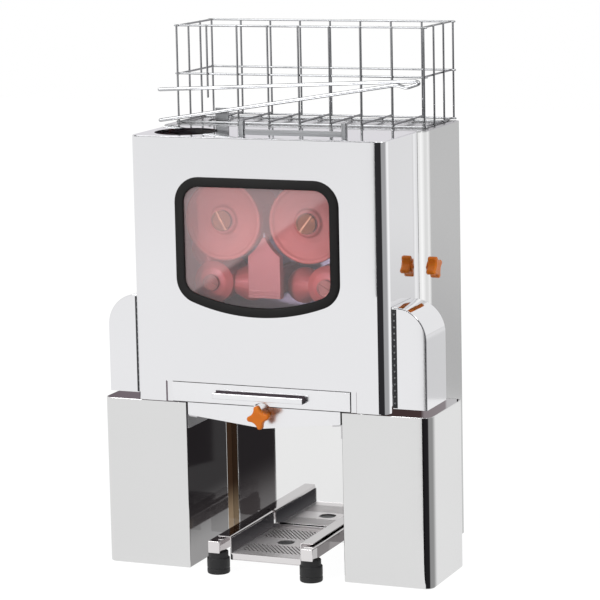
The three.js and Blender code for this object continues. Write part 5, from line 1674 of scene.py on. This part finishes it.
binLow, binHigh = span("peel_bin_right")
caseLow, caseHigh = span("cabinet_shell")
hoodBend = np.concatenate([[[hoodHigh[0] - bend - 2.3, frontY - paintOffset]],
                           bendRun(hoodHigh[0] - bend, frontY, 0, 5.4)])
addPaintedReflectionStrip("hoodBendGauze", hoodBend, 248.5, hoodHigh[2] - 1.4, 1.3, [
    (0, "#2C2B2D", 1), (8.8, "#2C2B2D", 1), (9.6, "#9E9E9F", 1), (15.9, "#A0A0A1", 1),
    (17.7, "#CBCBCC", 1), (19.8, "#F2F2F2", 1), (24.0, "#EEEEEE", 1), (27.1, "#E2E2E2", 1)])
binBend = bendRun(binHigh[0] - bend, binLow[1], 11, 13.0)
addPaintedReflectionStrip("binBendGauze", binBend, 0.2, binHigh[2] - 0.6, 1.42, [
    (0, "#1F1E20", 1), (6.5, "#222123", 1), (7.8, "#8E8E8E", 1), (14.9, "#909090", 1),
    (19.1, "#A6A6A6", 1), (22.1, "#BDBDBD", 1), (26.0, "#D4D4D4", 1), (30.0, "#DEDEDE", 0)])
caseBend = bendRun(caseHigh[0] - bend, caseLow[1], 6, 13.0)
addPaintedReflectionStrip("caseBendGauze", caseBend, 300.0, caseHigh[2] - 1.6, 1.25, [
    (0, "#D9D9D9", 1), (2.0, "#E2E2E2", 1), (4.3, "#EEEEEE", 1), (6.5, "#E4E4E4", 1),
    (9.5, "#D0D0D0", 1), (14.0, "#D4D4D4", 1), (18.2, "#D5D5D5", 1), (22.0, "#C8C8C8", 1),
    (27.0, "#C0C0C0", 0)], backGain=2.25)
# Painted shade on strips just before the bins' inner back walls, darker towards the machine's
# middle
inside = binHigh[1] - binShape["wall"] - 0.6
binWide = np.array([binHigh[0] - 2.0, 122.0])
addPaintedReflectionStrip("rightBinGauze", levelLine(binWide, inside), 120.0, binHigh[2] - 0.4, 1.42, [
    (0, "#C4C4C6", 1), (22.0, "#BDBBBD", 1), (25.0, "#8E878A", 1), (57.0, "#877F82", 1),
    (62.0, "#453737", 1), (128.0, "#3D3030", 1)])
addPaintedReflectionStrip("leftBinGauze", levelLine(-binWide[::-1], inside), 120.0, binHigh[2] - 0.4, 1.42, [
    (0, "#6E646A", 1), (128.0, "#766C72", 1)])
# Painted reflection: a grey strip along the hood's top front edge
edgeTop, edgeFront, rise, off = hoodHigh[2] * mm, frontY * mm, 0.0016, 0.0006
lower, upper = (edgeFront - off, edgeTop - rise), (edgeFront + rise, edgeTop + off)
addFlag("edgeGauze", [(-0.193, *lower), (0.1815, *lower), (0.1815, *upper), (-0.193, *upper)],
        "#6E6E72")
addFlag("topCard", [(x, 0.30, z) for x, z in (
    (-0.5, 0.64), (0.34, 0.64), (0.34, 0.80), (-0.5, 0.80))], "#ECEAEE")
bpy.context.scene.view_settings.view_transform = "Standard"
print("studio set")
